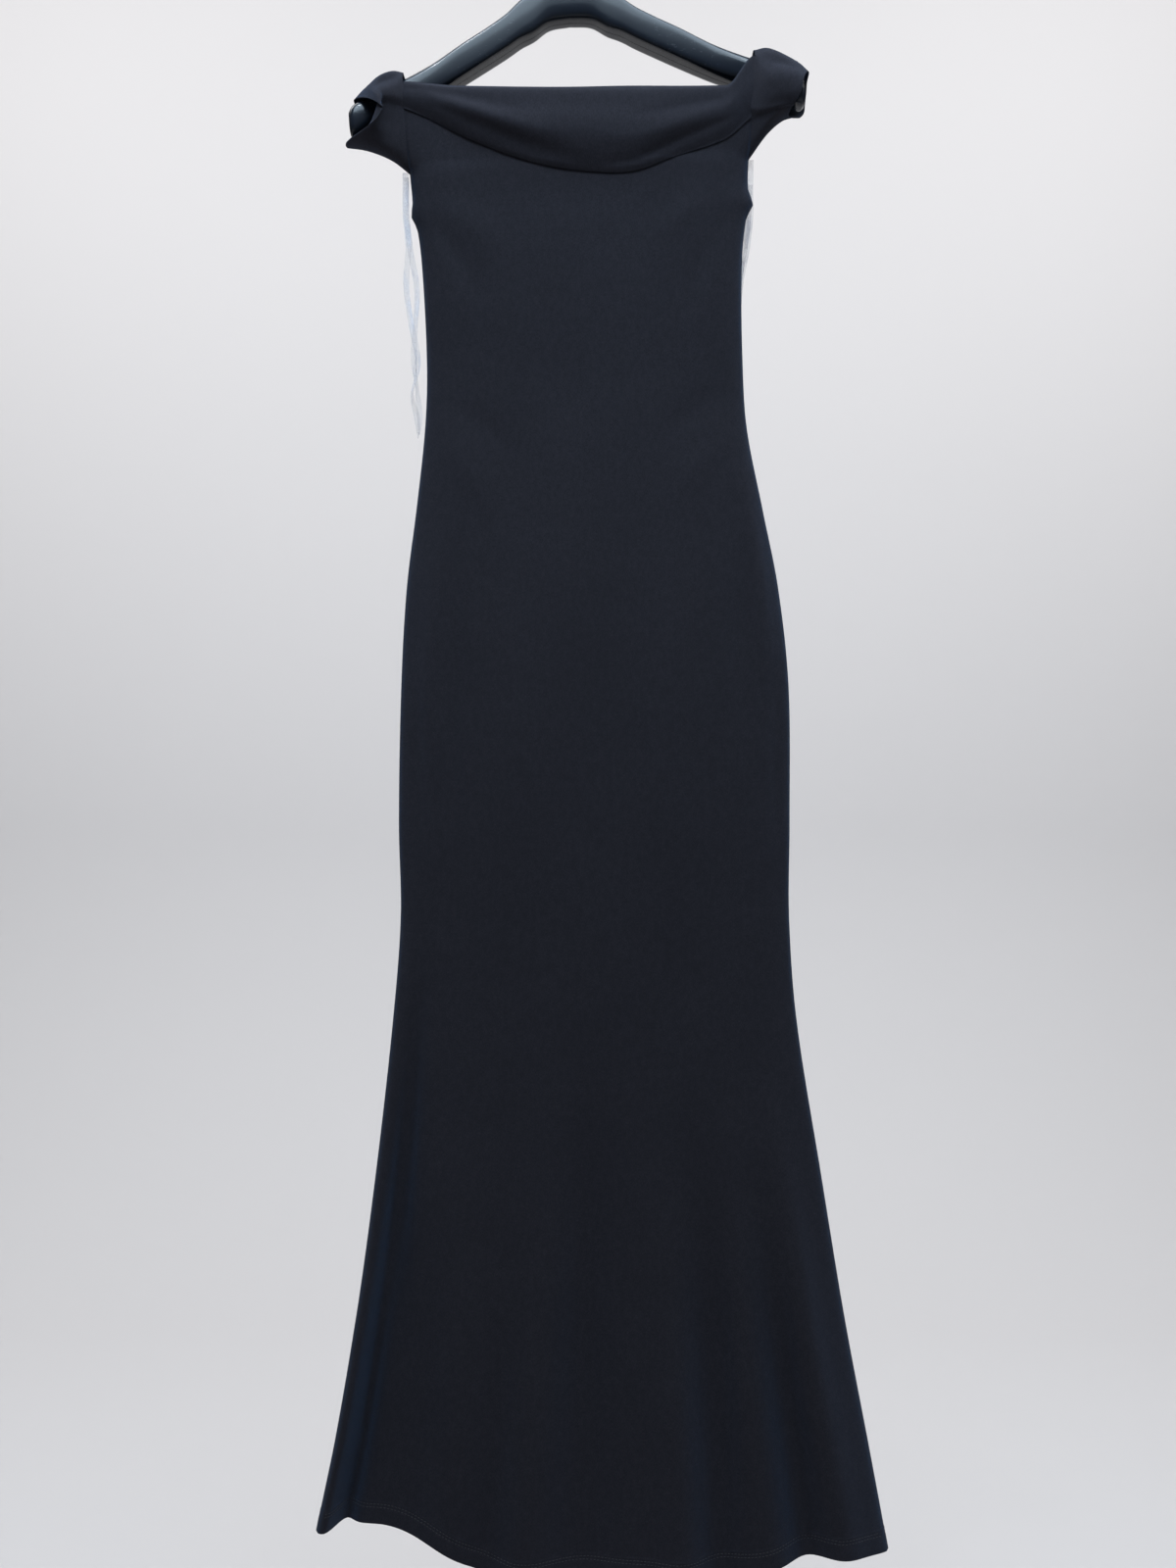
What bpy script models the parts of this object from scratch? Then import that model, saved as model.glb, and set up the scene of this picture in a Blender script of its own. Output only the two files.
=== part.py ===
"""Maxi dress of dark knit, hanging flat on a moulded clothes hanger.

Metres, +Z up, front of the dress towards -Y, +X to the right as seen from the front.
The origin is the top of the inside of the hanger's hook, where a rail or a wall hook carries it.
Each piece that is cut and sewn is an object of its own, a cloth wall with a small gap at its seams.
"Drop" is a distance down from the origin. "Left" and "right" are as seen from the front.
"""

import math
from collections import namedtuple

import bpy
from mathutils import Matrix, Vector

# Cloth and seams
CLOTH = 0.0016
TAPE = 0.0010
SEAM_GAP = 0.0003

# Neckline, underarm and hem, as drops from the hook
NECK_DROP = 0.1955
NECK_RISE_LEFT = 0.0030
NECK_RISE_RIGHT = 0.0265
NECK_RISE_WIDTH_LEFT = 0.052
NECK_RISE_WIDTH_RIGHT = 0.026
BACK_NECK_DROP = 0.2020
UNDERARM_DROP = 0.2587
UNDERARM_SLOPE = 0.042
SLOPE_GONE_DROP = 0.445
HEM_DROP = 1.578
HEM_CURVE_DROP = 1.15
HEM_RISE_LEFT = 0.050
HEM_RISE_RIGHT = 0.018
HEM_RISE_FROM = 0.3
HEM_RISE_TO = 0.8

# Armholes
ARMHOLE_HALF_DEPTH = 0.022
ARMHOLE_FORWARD = 0.0235

# Number of columns across a panel, and the share of them that crowd towards the side seams
FRONT_COLUMNS = 38
BACK_COLUMNS = 28
EDGE_CROWDING = 0.35
SECTION_POWER = 2.5

# Skirt fold that turns forward along the left side seam
TAIL_START_DROP = 0.95
TAIL_FORWARD = 0.030
TAIL_WIDTH = 0.014
TAIL_EDGE = 0.005

# Flutes: how much faster than their way they reach full depth, and how quickly they fade out
# towards the side seams
FLUTE_GROWTH = 1.25
FLUTE_EDGE_FADE = 3.0

# Hanger
HANGER_TILT = math.radians(4.0)
HANGER_HALF_LENGTH = 0.209
HANGER_FORWARD = 0.040
HANGER_POINTS = 14
HOOK_WIRE = 0.0042
HOOK_INNER_RADIUS = 0.020
HOOK_FOOT_DROP = 0.0676
HOOK_START = math.radians(-52)
HOOK_END = math.radians(206)
HOOK_STEM_PULL = 0.022
HOOK_STEM_STEPS = 8
HOOK_BOW_STEPS = 22
HOOK_BEVEL_STEPS = 3

# Outline of the dress: one row for each level, worked from the neckline down.
# left and right are the reach of the two side edges, front and back the depth of the two
# panels at the middle, and forward the turn of the side edges towards the front.
Level = namedtuple("Level", "drop left right front back forward")
LEVELS = (
    Level(NECK_DROP, -0.1470, 0.1764, 0.0360, 0.0150, ARMHOLE_FORWARD),
    Level(0.2587, -0.1427, 0.1737, 0.0320, 0.0145, 0.0215),
    Level(0.2860, -0.1405, 0.1737, 0.0300, 0.0140, 0.0190),
    Level(0.2980, -0.1418, 0.1785, 0.0295, 0.0140, 0.0180),
    Level(0.3105, -0.1362, 0.1720, 0.0290, 0.0140, 0.0170),
    Level(0.3560, -0.1316, 0.1682, 0.0265, 0.0130, 0.0130),
    Level(0.4445, -0.1284, 0.1700, 0.0210, 0.0120, 0.0060),
    Level(0.5000, -0.1306, 0.1742, 0.0200, 0.0125, 0.0035),
    Level(0.5750, -0.1390, 0.1893, 0.0195, 0.0140, 0.0010),
    Level(0.6490, -0.1483, 0.2041, 0.0200, 0.0155, 0.0),
    Level(0.7420, -0.1535, 0.2140, 0.0200, 0.0165, 0.0),
    Level(0.8720, -0.1558, 0.2150, 0.0190, 0.0160, 0.0),
    Level(0.9600, -0.1540, 0.2145, 0.0180, 0.0160, 0.0),
    Level(1.0580, -0.1610, 0.2215, 0.0180, 0.0170, 0.0),
    Level(1.2070, -0.1765, 0.2450, 0.0200, 0.0190, 0.0),
    Level(1.3560, -0.1930, 0.2683, 0.0220, 0.0210, 0.0),
    Level(1.4860, -0.2110, 0.2916, 0.0240, 0.0230, 0.0),
    Level(HEM_DROP, -0.2285, 0.3083, 0.0250, 0.0240, 0.0),
)

# Levels at which the panels have a row of points below the underarm
PANEL_DROPS = (
    UNDERARM_DROP, 0.2860, 0.2980, 0.3105, 0.3330, 0.3700, 0.4100, 0.4550, 0.5000, 0.5500, 0.6050,
    0.6650, 0.7350, 0.8150, 0.8950, 0.9700, 1.0450, 1.1200, 1.1950, 1.2700, 1.3450, 1.4150, 1.4750,
    1.5300, HEM_DROP,
)
# Rows from the neckline to the underarm, as shares of that way
ARMHOLE_SHARES = (0.0, 0.35, 0.65, 0.87)

# Flutes of the skirt: place is a share of the width from the left edge, at the start and at the
# hem. depth is how far the flute stands forward, or backward where it is negative, at the hem.
Flute = namedtuple("Flute", "start_place hem_place width depth start_drop")
FRONT_FLUTES = (
    Flute(0.060, 0.044, 0.009, -0.0120, 0.93),
    Flute(0.190, 0.222, 0.026, 0.0070, 1.05),
    Flute(0.300, 0.290, 0.018, -0.0045, 1.25),
    Flute(0.370, 0.358, 0.026, 0.0080, 1.15),
    Flute(0.500, 0.461, 0.030, -0.0100, 0.90),
    Flute(0.640, 0.631, 0.022, 0.0090, 1.15),
    Flute(0.720, 0.700, 0.018, -0.0090, 1.10),
    Flute(0.790, 0.785, 0.022, 0.0060, 1.05),
    Flute(0.860, 0.853, 0.018, -0.0120, 1.18),
    Flute(0.910, 0.921, 0.020, 0.0080, 1.10),
)
BACK_FLUTES = (
    Flute(0.150, 0.120, 0.024, 0.0090, 1.00),
    Flute(0.260, 0.235, 0.026, -0.0100, 1.12),
    Flute(0.390, 0.375, 0.034, 0.0120, 0.95),
    Flute(0.500, 0.520, 0.030, -0.0110, 1.05),
    Flute(0.620, 0.655, 0.032, 0.0100, 1.20),
    Flute(0.740, 0.770, 0.026, -0.0120, 1.00),
    Flute(0.860, 0.885, 0.024, 0.0080, 1.10),
)

# Folded-over neckline on the front: how far its lower edge hangs below the neckline, across the
# width, as shares from the left edge
BandDepth = namedtuple("BandDepth", "place depth")
FRONT_BAND = (
    BandDepth(0.00, 0.0190),
    BandDepth(0.08, 0.0270),
    BandDepth(0.20, 0.0440),
    BandDepth(0.36, 0.0620),
    BandDepth(0.52, 0.0720),
    BandDepth(0.66, 0.0740),
    BandDepth(0.78, 0.0630),
    BandDepth(0.90, 0.0520),
    BandDepth(1.00, 0.0400),
)
BACK_BAND = (
    BandDepth(0.00, 0.0190),
    BandDepth(0.25, 0.0420),
    BandDepth(0.50, 0.0500),
    BandDepth(0.75, 0.0450),
    BandDepth(1.00, 0.0300),
)
# Section of the folded-over neckline: way down its face as a share, and how far its outer side
# stands off the panel as a share of its fullness
BandSection = namedtuple("BandSection", "down off")
BAND_SECTION = (
    BandSection(0.00, 0.00),
    BandSection(-0.05, 0.30),
    BandSection(0.03, 0.62),
    BandSection(0.24, 0.84),
    BandSection(0.52, 1.00),
    BandSection(0.80, 0.92),
    BandSection(0.95, 0.56),
    BandSection(1.00, 0.20),
)
BAND_FULLNESS = 0.0125
BAND_EDGE_FULLNESS = 0.0040
BAND_ROLL_RISE = 0.0040
BAND_EDGE_RISE = 0.0022
BAND_ROOM = 0.0007
BAND_BOW_POWER = 0.7

# Sleeves: rings outwards from the armhole. reach is from the armhole, centre and depth are the
# middle of the ring and its half depth, and scoop and tuck how far its front and its underside
# are drawn back.
SleeveRing = namedtuple("SleeveRing", "reach centre depth top wide bottom scoop tuck")
SLEEVE_LEFT = (
    SleeveRing(0.014, -0.0265, 0.0235, -0.1765, -0.2000, -0.2558, 0.000, 0.000),
    SleeveRing(0.028, -0.0310, 0.0245, -0.1825, -0.2080, -0.2503, 0.005, 0.000),
    SleeveRing(0.040, -0.0360, 0.0250, -0.1950, -0.2150, -0.2470, 0.016, -0.004),
    SleeveRing(0.049, -0.0390, 0.0245, -0.2060, -0.2240, -0.2460, 0.028, -0.008),
)
SLEEVE_RIGHT = (
    SleeveRing(0.014, -0.0275, 0.0235, -0.1540, -0.1850, -0.2335, 0.000, 0.000),
    SleeveRing(0.027, -0.0310, 0.0245, -0.1605, -0.1890, -0.2245, 0.001, 0.004),
    SleeveRing(0.041, -0.0355, 0.0245, -0.1695, -0.1960, -0.2185, 0.004, 0.010),
    SleeveRing(0.053, -0.0390, 0.0240, -0.1820, -0.2010, -0.2165, 0.008, 0.018),
)
SLEEVE_POINTS = 20
# Rise of the armhole's top over the hanger's arm
ARCH_LEFT = 0.0147
ARCH_RIGHT = 0.0105

# Hanger: one row for each place along an arm, as reach from the middle in the hanger's own frame.
# square is the power of the section: 2 is an ellipse, and a higher one has squarer corners.
ArmSection = namedtuple("ArmSection", "reach height tall deep square")
ARM_SECTIONS = (
    ArmSection(0.000, -0.0908, 0.0456, 0.0270, 5.0),
    ArmSection(0.020, -0.0932, 0.0458, 0.0275, 5.0),
    ArmSection(0.035, -0.1055, 0.0395, 0.0280, 6.0),
    ArmSection(0.047, -0.1132, 0.0345, 0.0285, 7.0),
    ArmSection(0.060, -0.1233, 0.0310, 0.0290, 7.0),
    ArmSection(0.079, -0.1356, 0.0296, 0.0290, 7.0),
    ArmSection(0.101, -0.1494, 0.0294, 0.0290, 6.5),
    ArmSection(0.133, -0.1703, 0.0282, 0.0285, 4.5),
    ArmSection(0.165, -0.1882, 0.0272, 0.0300, 3.2),
    ArmSection(0.188, -0.2020, 0.0285, 0.0320, 3.0),
    ArmSection(0.200, -0.2095, 0.0300, 0.0315, 3.0),
    ArmSection(0.206, -0.2130, 0.0280, 0.0285, 3.0),
    ArmSection(0.209, -0.2145, 0.0215, 0.0215, 3.0),
)

# Clear hanger loops: the way of the tape, in the order it runs
TapePoint = namedtuple("TapePoint", "x y z")
LOOP_WIDTH = 0.0055
LOOP_STEPS = 3
LOOP_LEFT = (
    TapePoint(-0.1465, -0.0235, -0.2650),
    TapePoint(-0.1466, -0.0235, -0.3000),
    TapePoint(-0.1440, -0.0230, -0.3350),
    TapePoint(-0.1460, -0.0220, -0.3680),
    TapePoint(-0.1425, -0.0210, -0.4000),
    TapePoint(-0.1350, -0.0200, -0.4420),
    TapePoint(-0.1405, -0.0190, -0.4700),
    TapePoint(-0.1365, -0.0170, -0.4930),
    TapePoint(-0.1355, -0.0140, -0.5080),
    TapePoint(-0.1347, -0.0112, -0.4900),
    TapePoint(-0.1370, -0.0112, -0.4640),
    TapePoint(-0.1400, -0.0120, -0.4380),
    TapePoint(-0.1390, -0.0130, -0.4080),
    TapePoint(-0.1370, -0.0140, -0.3700),
    TapePoint(-0.1430, -0.0150, -0.3350),
    TapePoint(-0.1466, -0.0160, -0.3000),
    TapePoint(-0.1468, -0.0170, -0.2665),
)
LOOP_RIGHT = (
    TapePoint(0.1762, -0.0165, -0.2500),
    TapePoint(0.1760, -0.0150, -0.2750),
    TapePoint(0.1770, -0.0085, -0.2970),
    TapePoint(0.1745, -0.0040, -0.3250),
    TapePoint(0.1690, 0.0040, -0.3600),
    TapePoint(0.1660, 0.0110, -0.4000),
    TapePoint(0.1650, 0.0140, -0.4200),
    TapePoint(0.1645, 0.0165, -0.4120),
    TapePoint(0.1680, 0.0140, -0.3600),
    TapePoint(0.1730, 0.0080, -0.3250),
    TapePoint(0.1760, 0.0010, -0.2970),
    TapePoint(0.1762, -0.0090, -0.2700),
)

# Edges that turn more than this stay sharp
SHARP_ANGLE = math.radians(40.0)

# Colours and finishes of the pieces
Finish = namedtuple("Finish", "name colour roughness metallic")
KNIT = Finish("dark_knit", (0.0095, 0.0105, 0.0140), 0.85, 0.0)
CLEAR_TAPE = Finish("clear_tape", (0.55, 0.56, 0.58), 0.25, 0.0)
GLOSS_PLASTIC = Finish("gloss_plastic", (0.006, 0.007, 0.008), 0.18, 0.0)
HOOK_METAL = Finish("hook_metal", (0.55, 0.55, 0.56), 0.25, 1.0)


def smoothstep(value):
    """Ease from 0 to 1 as value goes from 0 to 1."""
    value = min(max(value, 0.0), 1.0)
    return value * value * (3.0 - 2.0 * value)


def eased(value, start, end):
    """Ease from 0 to 1 as value goes from start to end."""
    return smoothstep((value - start) / (end - start))


def curve_through(keys, values, at):
    """Smooth curve through the values at the keys, held at its ends."""
    if at <= keys[0]:
        return values[0]
    if at >= keys[-1]:
        return values[-1]
    index = max(i for i, key in enumerate(keys[:-1]) if key <= at)
    span = keys[index + 1] - keys[index]
    share = (at - keys[index]) / span

    def slope(i):
        before, after = max(i - 1, 0), min(i + 1, len(keys) - 1)
        return (values[after] - values[before]) / (keys[after] - keys[before])

    start, end = values[index], values[index + 1]
    start_slope, end_slope = slope(index) * span, slope(index + 1) * span
    cubed, squared = share ** 3, share ** 2
    return ((2 * cubed - 3 * squared + 1) * start + (cubed - 2 * squared + share) * start_slope
            + (3 * squared - 2 * cubed) * end + (cubed - squared) * end_slope)


def level_at(drop):
    """The outline of the dress at a drop, read from the table of levels."""
    keys = [level.drop for level in LEVELS]
    columns = [curve_through(keys, [level[c] for level in LEVELS], drop) for c in range(1, 6)]
    return Level(drop, *columns)


def column_places(count):
    """Places across a panel from -1 to 1, closer together near the side seams."""
    places = []
    for column in range(count + 1):
        share = column / count
        crowded = -math.cos(math.pi * share)
        places.append(EDGE_CROWDING * crowded + (1.0 - EDGE_CROWDING) * (2.0 * share - 1.0))
    return places


def flute_depth(flutes, share, width, drop):
    """How far the flutes of one panel stand out at a place across it."""
    total = 0.0
    for flute in flutes:
        full_drop = flute.start_drop + (HEM_DROP - flute.start_drop) / FLUTE_GROWTH
        grown = eased(drop, flute.start_drop, full_drop)
        way = eased(drop, flute.start_drop, HEM_DROP)
        place = flute.start_place + (flute.hem_place - flute.start_place) * way
        offset = (share - place) * width / flute.width
        total += flute.depth * grown * math.exp(-offset * offset)
    return total


def neckline_height(x, left, right, front):
    """Height of a panel's top edge: level in the middle, rising to the shoulders."""
    middle = NECK_DROP if front else BACK_NECK_DROP
    extra = middle - NECK_DROP
    rise_left = (NECK_RISE_LEFT + extra) * eased(x, left + NECK_RISE_WIDTH_LEFT, left)
    rise_right = (NECK_RISE_RIGHT + extra) * eased(x, right - NECK_RISE_WIDTH_RIGHT, right)
    return -middle + rise_left + rise_right


def panel_point(side, place, drop, armhole_share=1.0):
    """Outer point of a panel: side is -1 for the front and 1 for the back, place from -1 to 1.

    armhole_share goes from 0 at the neckline to 1 at the underarm and below it.
    """
    level = level_at(drop)
    middle, half = (level.left + level.right) / 2.0, (level.right - level.left) / 2.0
    x = middle + half * place
    share = (place + 1.0) / 2.0
    fullness = level.front if side < 0 else level.back
    shape = max(0.0, 1.0 - abs(place) ** SECTION_POWER) ** (1.0 / SECTION_POWER)
    openness = math.sqrt(max(0.0, 1.0 - armhole_share ** 2))
    shape += (1.0 - place ** 2 - shape) * openness
    open_depth = ARMHOLE_HALF_DEPTH * openness
    depth = open_depth + (fullness - open_depth) * shape
    flutes = FRONT_FLUTES if side < 0 else BACK_FLUTES
    depth += flute_depth(flutes, share, 2.0 * half, drop) * min(1.0, FLUTE_EDGE_FADE * shape)
    tail = TAIL_FORWARD * eased(drop, TAIL_START_DROP, HEM_DROP)
    forward = level.forward * place ** 2
    past_edge = max(x - level.left - TAIL_EDGE, 0.0)
    forward += tail * math.exp(-(past_edge / TAIL_WIDTH) ** 2)
    y = side * (depth + SEAM_GAP / 2.0) - forward
    if armhole_share < 1.0:
        top = neckline_height(x, level.left, level.right, side < 0)
        under = -UNDERARM_DROP + UNDERARM_SLOPE * (x - middle)
        return Vector((x, y, top + (under - top) * armhole_share))
    slope = UNDERARM_SLOPE * (1.0 - eased(drop, UNDERARM_DROP, SLOPE_GONE_DROP))
    lift = HEM_RISE_LEFT if place < 0.0 else HEM_RISE_RIGHT
    lift *= eased(abs(place), HEM_RISE_FROM, HEM_RISE_TO) * eased(drop, HEM_CURVE_DROP, HEM_DROP)
    return Vector((x, y, -drop + slope * (x - middle) + lift))


def panel_rows(side, columns):
    """Rows of outer points of a panel, from the neckline to the hem."""
    places = column_places(columns)
    rows = []
    for share in ARMHOLE_SHARES:
        drop = NECK_DROP + (UNDERARM_DROP - NECK_DROP) * share
        rows.append([panel_point(side, place, drop, share) for place in places])
    for drop in PANEL_DROPS:
        rows.append([panel_point(side, place, drop) for place in places])
    return rows


def grid_normals(grid, sign, wrap=False):
    """Normals of a grid of points: sign is 1 or -1 and picks the side of the sheet."""
    normals = []
    for i, row in enumerate(grid):
        line = []
        above, below = grid[max(i - 1, 0)], grid[min(i + 1, len(grid) - 1)]
        for j in range(len(row)):
            if wrap:
                before, after = row[j - 1], row[(j + 1) % len(row)]
            else:
                before, after = row[max(j - 1, 0)], row[min(j + 1, len(row) - 1)]
            line.append((after - before).cross(below[j] - above[j]).normalized() * sign)
        normals.append(line)
    return normals


def moved_in(grid, normals, thickness):
    """The grid on the other side of a wall of the given thickness."""
    return [[point - normal * thickness for point, normal in zip(row, line)]
            for row, line in zip(grid, normals)]


def wall_mesh(name, outer, inner, wrap=False):
    """A closed wall between a grid of outer points and a grid of inner points."""
    rows, columns = len(outer), len(outer[0])
    points = [point for row in outer for point in row] + [point for row in inner for point in row]
    layer = rows * columns
    faces = []
    last = columns if wrap else columns - 1
    for i in range(rows - 1):
        for j in range(last):
            a, b = i * columns + j, i * columns + (j + 1) % columns
            c, d = b + columns, a + columns
            faces.append((a, b, c, d))
            faces.append((a + layer, d + layer, c + layer, b + layer))
    for j in range(last):
        a, b = j, (j + 1) % columns
        faces.append((b, a, a + layer, b + layer))
        a, b = (rows - 1) * columns + a, (rows - 1) * columns + b
        faces.append((a, b, b + layer, a + layer))
    if not wrap:
        for i in range(rows - 1):
            a, d = i * columns, (i + 1) * columns
            faces.append((a, d, d + layer, a + layer))
            b, c = a + columns - 1, d + columns - 1
            faces.append((c, b, b + layer, c + layer))
    return closed_mesh(name, points, faces)


def swept_mesh(name, rings):
    """A solid through closed rings of points, with a flat face at each end."""
    count = len(rings[0])
    points = [point for ring in rings for point in ring]
    faces = [tuple(range(count)), tuple(reversed(range(len(points) - count, len(points))))]
    for i in range(len(rings) - 1):
        for j in range(count):
            a, b = i * count + j, i * count + (j + 1) % count
            faces.append((b, a, a + count, b + count))
    return closed_mesh(name, points, faces)


def closed_mesh(name, points, faces):
    """A mesh from points and faces, with its faces turned to point out of the body."""
    mesh = bpy.data.meshes.new(name)
    mesh.from_pydata([tuple(point) for point in points], [], faces)
    volume = 0.0
    for face in faces:
        first = points[face[0]]
        for second, third in zip(face[1:-1], face[2:]):
            volume += first.dot(points[second].cross(points[third]))
    if volume < 0.0:
        mesh.flip_normals()
    mesh.update()
    return mesh


def material_for(finish):
    """The material of a finish, made once."""
    material = bpy.data.materials.get(finish.name)
    if material is None:
        material = bpy.data.materials.new(finish.name)
        material.use_nodes = True
        shader = material.node_tree.nodes["Principled BSDF"]
        shader.inputs["Base Color"].default_value = (*finish.colour, 1.0)
        shader.inputs["Roughness"].default_value = finish.roughness
        shader.inputs["Metallic"].default_value = finish.metallic
        material.diffuse_color = (*finish.colour, 1.0)
    return material


def add_piece(name, mesh, finish, parent):
    """One piece as an object of its own, smooth where it is round."""
    mesh.shade_smooth()
    mesh.set_sharp_from_angle(angle=SHARP_ANGLE)
    mesh.materials.append(material_for(finish))
    piece = bpy.data.objects.new(name, mesh)
    piece.parent = parent
    bpy.context.scene.collection.objects.link(piece)
    return piece


def panel_mesh(name, side, columns):
    """Front or back of the dress as one wall; its side rims stay in the seam's plane."""
    outer = panel_rows(side, columns)
    normals = grid_normals(outer, side)
    normals[0] = [Vector((0.0, side, 0.0)) for _ in normals[0]]
    for i, line in enumerate(normals):
        for j, outward in ((0, -1.0), (columns, 1.0)):
            if i < len(ARMHOLE_SHARES):
                line[j] = Vector((0.0, line[j].y, line[j].z)).normalized()
            else:
                line[j] = Vector((outward, 0.0, 0.0))
    return wall_mesh(name, outer, moved_in(outer, normals, CLOTH))


def point_below_neck(side, place, way):
    """Outer point of a panel at a distance below the neckline."""
    share = way / (UNDERARM_DROP - NECK_DROP)
    return panel_point(side, place, NECK_DROP + way, min(share, 1.0))


def band_mesh(name, side, columns, depths):
    """Folded-over neckline: up from the panel's edge, over in a soft roll and down its face."""
    keys = [depth.place for depth in depths]
    values = [depth.depth for depth in depths]
    rows = [[] for _ in BAND_SECTION]
    for place in column_places(columns):
        share = (place + 1.0) / 2.0
        hang = curve_through(keys, values, share)
        bow = math.sin(math.pi * share) ** BAND_BOW_POWER
        fullness = BAND_EDGE_FULLNESS + (BAND_FULLNESS - BAND_EDGE_FULLNESS) * bow
        for row, section in zip(rows, BAND_SECTION):
            point = point_below_neck(side, place, max(section.down, 0.0) * hang)
            off = max(section.off * fullness, CLOTH + BAND_ROOM)
            if row is rows[0]:
                point.z += SEAM_GAP
                off = -CLOTH
            elif section.down <= 0.0:
                point.z += BAND_EDGE_RISE + (BAND_ROLL_RISE - BAND_EDGE_RISE) * bow
                off = section.off * fullness
            point.y += side * off
            row.append(point)
    normals = grid_normals(rows, side)
    normals[0] = [Vector((0.0, -side, 0.0)) for _ in normals[0]]
    for line in normals:
        for j in (0, columns):
            line[j] = Vector((0.0, line[j].y, line[j].z)).normalized()
    return wall_mesh(name, rows, moved_in(rows, normals, CLOTH))


def armhole_ring(hand, arch):
    """First ring of a sleeve, along the armhole and over the hanger's arm."""
    ring = []
    for step in range(SLEEVE_POINTS):
        angle = 2.0 * math.pi * step / SLEEVE_POINTS
        below = max(math.cos(angle), 0.0)
        side = -1 if math.sin(angle) >= 0.0 else 1
        drop = NECK_DROP + (UNDERARM_DROP - NECK_DROP) * below
        point = panel_point(side, hand, drop, below)
        if math.cos(angle) < 0.0:
            point.y = -ARMHOLE_FORWARD - ARMHOLE_HALF_DEPTH * math.sin(angle)
            point.z -= arch * math.cos(angle)
        point.x += hand * SEAM_GAP
        ring.append(point)
    return ring


def sleeve_mesh(name, hand, table, arch):
    """A short sleeve: hand is -1 for the left and 1 for the right."""
    rings = [armhole_ring(hand, arch)]
    edge = rings[0][0].x
    for row in table:
        ring = []
        for step in range(SLEEVE_POINTS):
            angle = 2.0 * math.pi * step / SLEEVE_POINTS
            limit = row.bottom if math.cos(angle) > 0.0 else row.top
            front, under = max(math.sin(angle), 0.0), max(math.cos(angle), 0.0)
            x = edge + hand * (row.reach - row.scoop * front ** 2 - row.tuck * under ** 2)
            y = row.centre - row.depth * math.sin(angle)
            ring.append(Vector((x, y, row.wide + (limit - row.wide) * abs(math.cos(angle)))))
        rings.append(ring)
    normals = grid_normals(rings, -hand, wrap=True)
    normals[0] = [Vector((0.0, normal.y, normal.z)).normalized() for normal in normals[0]]
    return wall_mesh(name, rings, moved_in(rings, normals, CLOTH), wrap=True)


def tape_mesh(name, way):
    """A flat tape along a way of points."""
    keys = list(range(len(way)))
    places = [step / LOOP_STEPS for step in range(LOOP_STEPS * (len(way) - 1) + 1)]
    centres = [Vector([curve_through(keys, [point[c] for point in way], place) for c in range(3)])
               for place in places]
    rings = []
    for i, centre in enumerate(centres):
        along = (centres[min(i + 1, len(centres) - 1)] - centres[max(i - 1, 0)]).normalized()
        across = (Vector((1.0, 0.0, 0.0)) - along * along.x).normalized() * LOOP_WIDTH / 2.0
        through = along.cross(across).normalized() * TAPE / 2.0
        rings.append([centre - across - through, centre + across - through,
                      centre + across + through, centre - across + through])
    return swept_mesh(name, rings)


def tilt_matrix():
    """The hanger's tilt about the middle of its hook's bow."""
    middle = Vector((0.0, 0.0, -HOOK_INNER_RADIUS))
    turn = Matrix.Rotation(-HANGER_TILT, 4, "Y")
    return Matrix.Translation(middle) @ turn @ Matrix.Translation(-middle)


def hanger_mesh(name):
    """Both arms of the hanger and its neck, through the table of arm sections."""
    left = [(-section.reach, section) for section in reversed(ARM_SECTIONS[1:])]
    right = [(section.reach, section) for section in ARM_SECTIONS]
    tilt = tilt_matrix()
    rings = []
    for x, section in left + right:
        power = 2.0 / section.square
        forward = HANGER_FORWARD * (section.reach / HANGER_HALF_LENGTH) ** 2
        ring = []
        for step in range(HANGER_POINTS):
            angle = 2.0 * math.pi * (step + 0.5) / HANGER_POINTS
            cosine, sine = math.cos(angle), math.sin(angle)
            y = math.copysign(abs(cosine) ** power, cosine) * section.deep / 2.0 - forward
            z = math.copysign(abs(sine) ** power, sine) * section.tall / 2.0 + section.height
            ring.append(tilt @ Vector((x, y, z)))
        rings.append(ring)
    return swept_mesh(name, rings)


def hook_curve(name):
    """The wire hook: up from the hanger's neck and round in a bow, open at the left."""
    radius = HOOK_INNER_RADIUS + HOOK_WIRE / 2.0
    tilt = tilt_matrix()

    def bow(angle):
        return Vector((radius * math.cos(angle), 0.0, radius * math.sin(angle) - HOOK_INNER_RADIUS))

    foot = Vector((0.0, 0.0, -HOOK_FOOT_DROP))
    start = bow(HOOK_START)
    heading = Vector((-math.sin(HOOK_START), 0.0, math.cos(HOOK_START)))
    leave = foot + Vector((0.0, 0.0, HOOK_STEM_PULL))
    arrive = start - heading * HOOK_STEM_PULL
    points = []
    for step in range(HOOK_STEM_STEPS):
        t = step / HOOK_STEM_STEPS
        points.append(foot * (1 - t) ** 3 + leave * 3 * t * (1 - t) ** 2
                      + arrive * 3 * t ** 2 * (1 - t) + start * t ** 3)
    for step in range(HOOK_BOW_STEPS + 1):
        points.append(bow(HOOK_START + (HOOK_END - HOOK_START) * step / HOOK_BOW_STEPS))
    curve = bpy.data.curves.new(name, "CURVE")
    curve.dimensions = "3D"
    curve.bevel_depth = HOOK_WIRE / 2.0
    curve.bevel_resolution = HOOK_BEVEL_STEPS
    curve.use_fill_caps = True
    spline = curve.splines.new("POLY")
    spline.points.add(len(points) - 1)
    for place, point in zip(spline.points, points):
        place.co = (*(tilt @ point), 1.0)
    return curve


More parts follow.
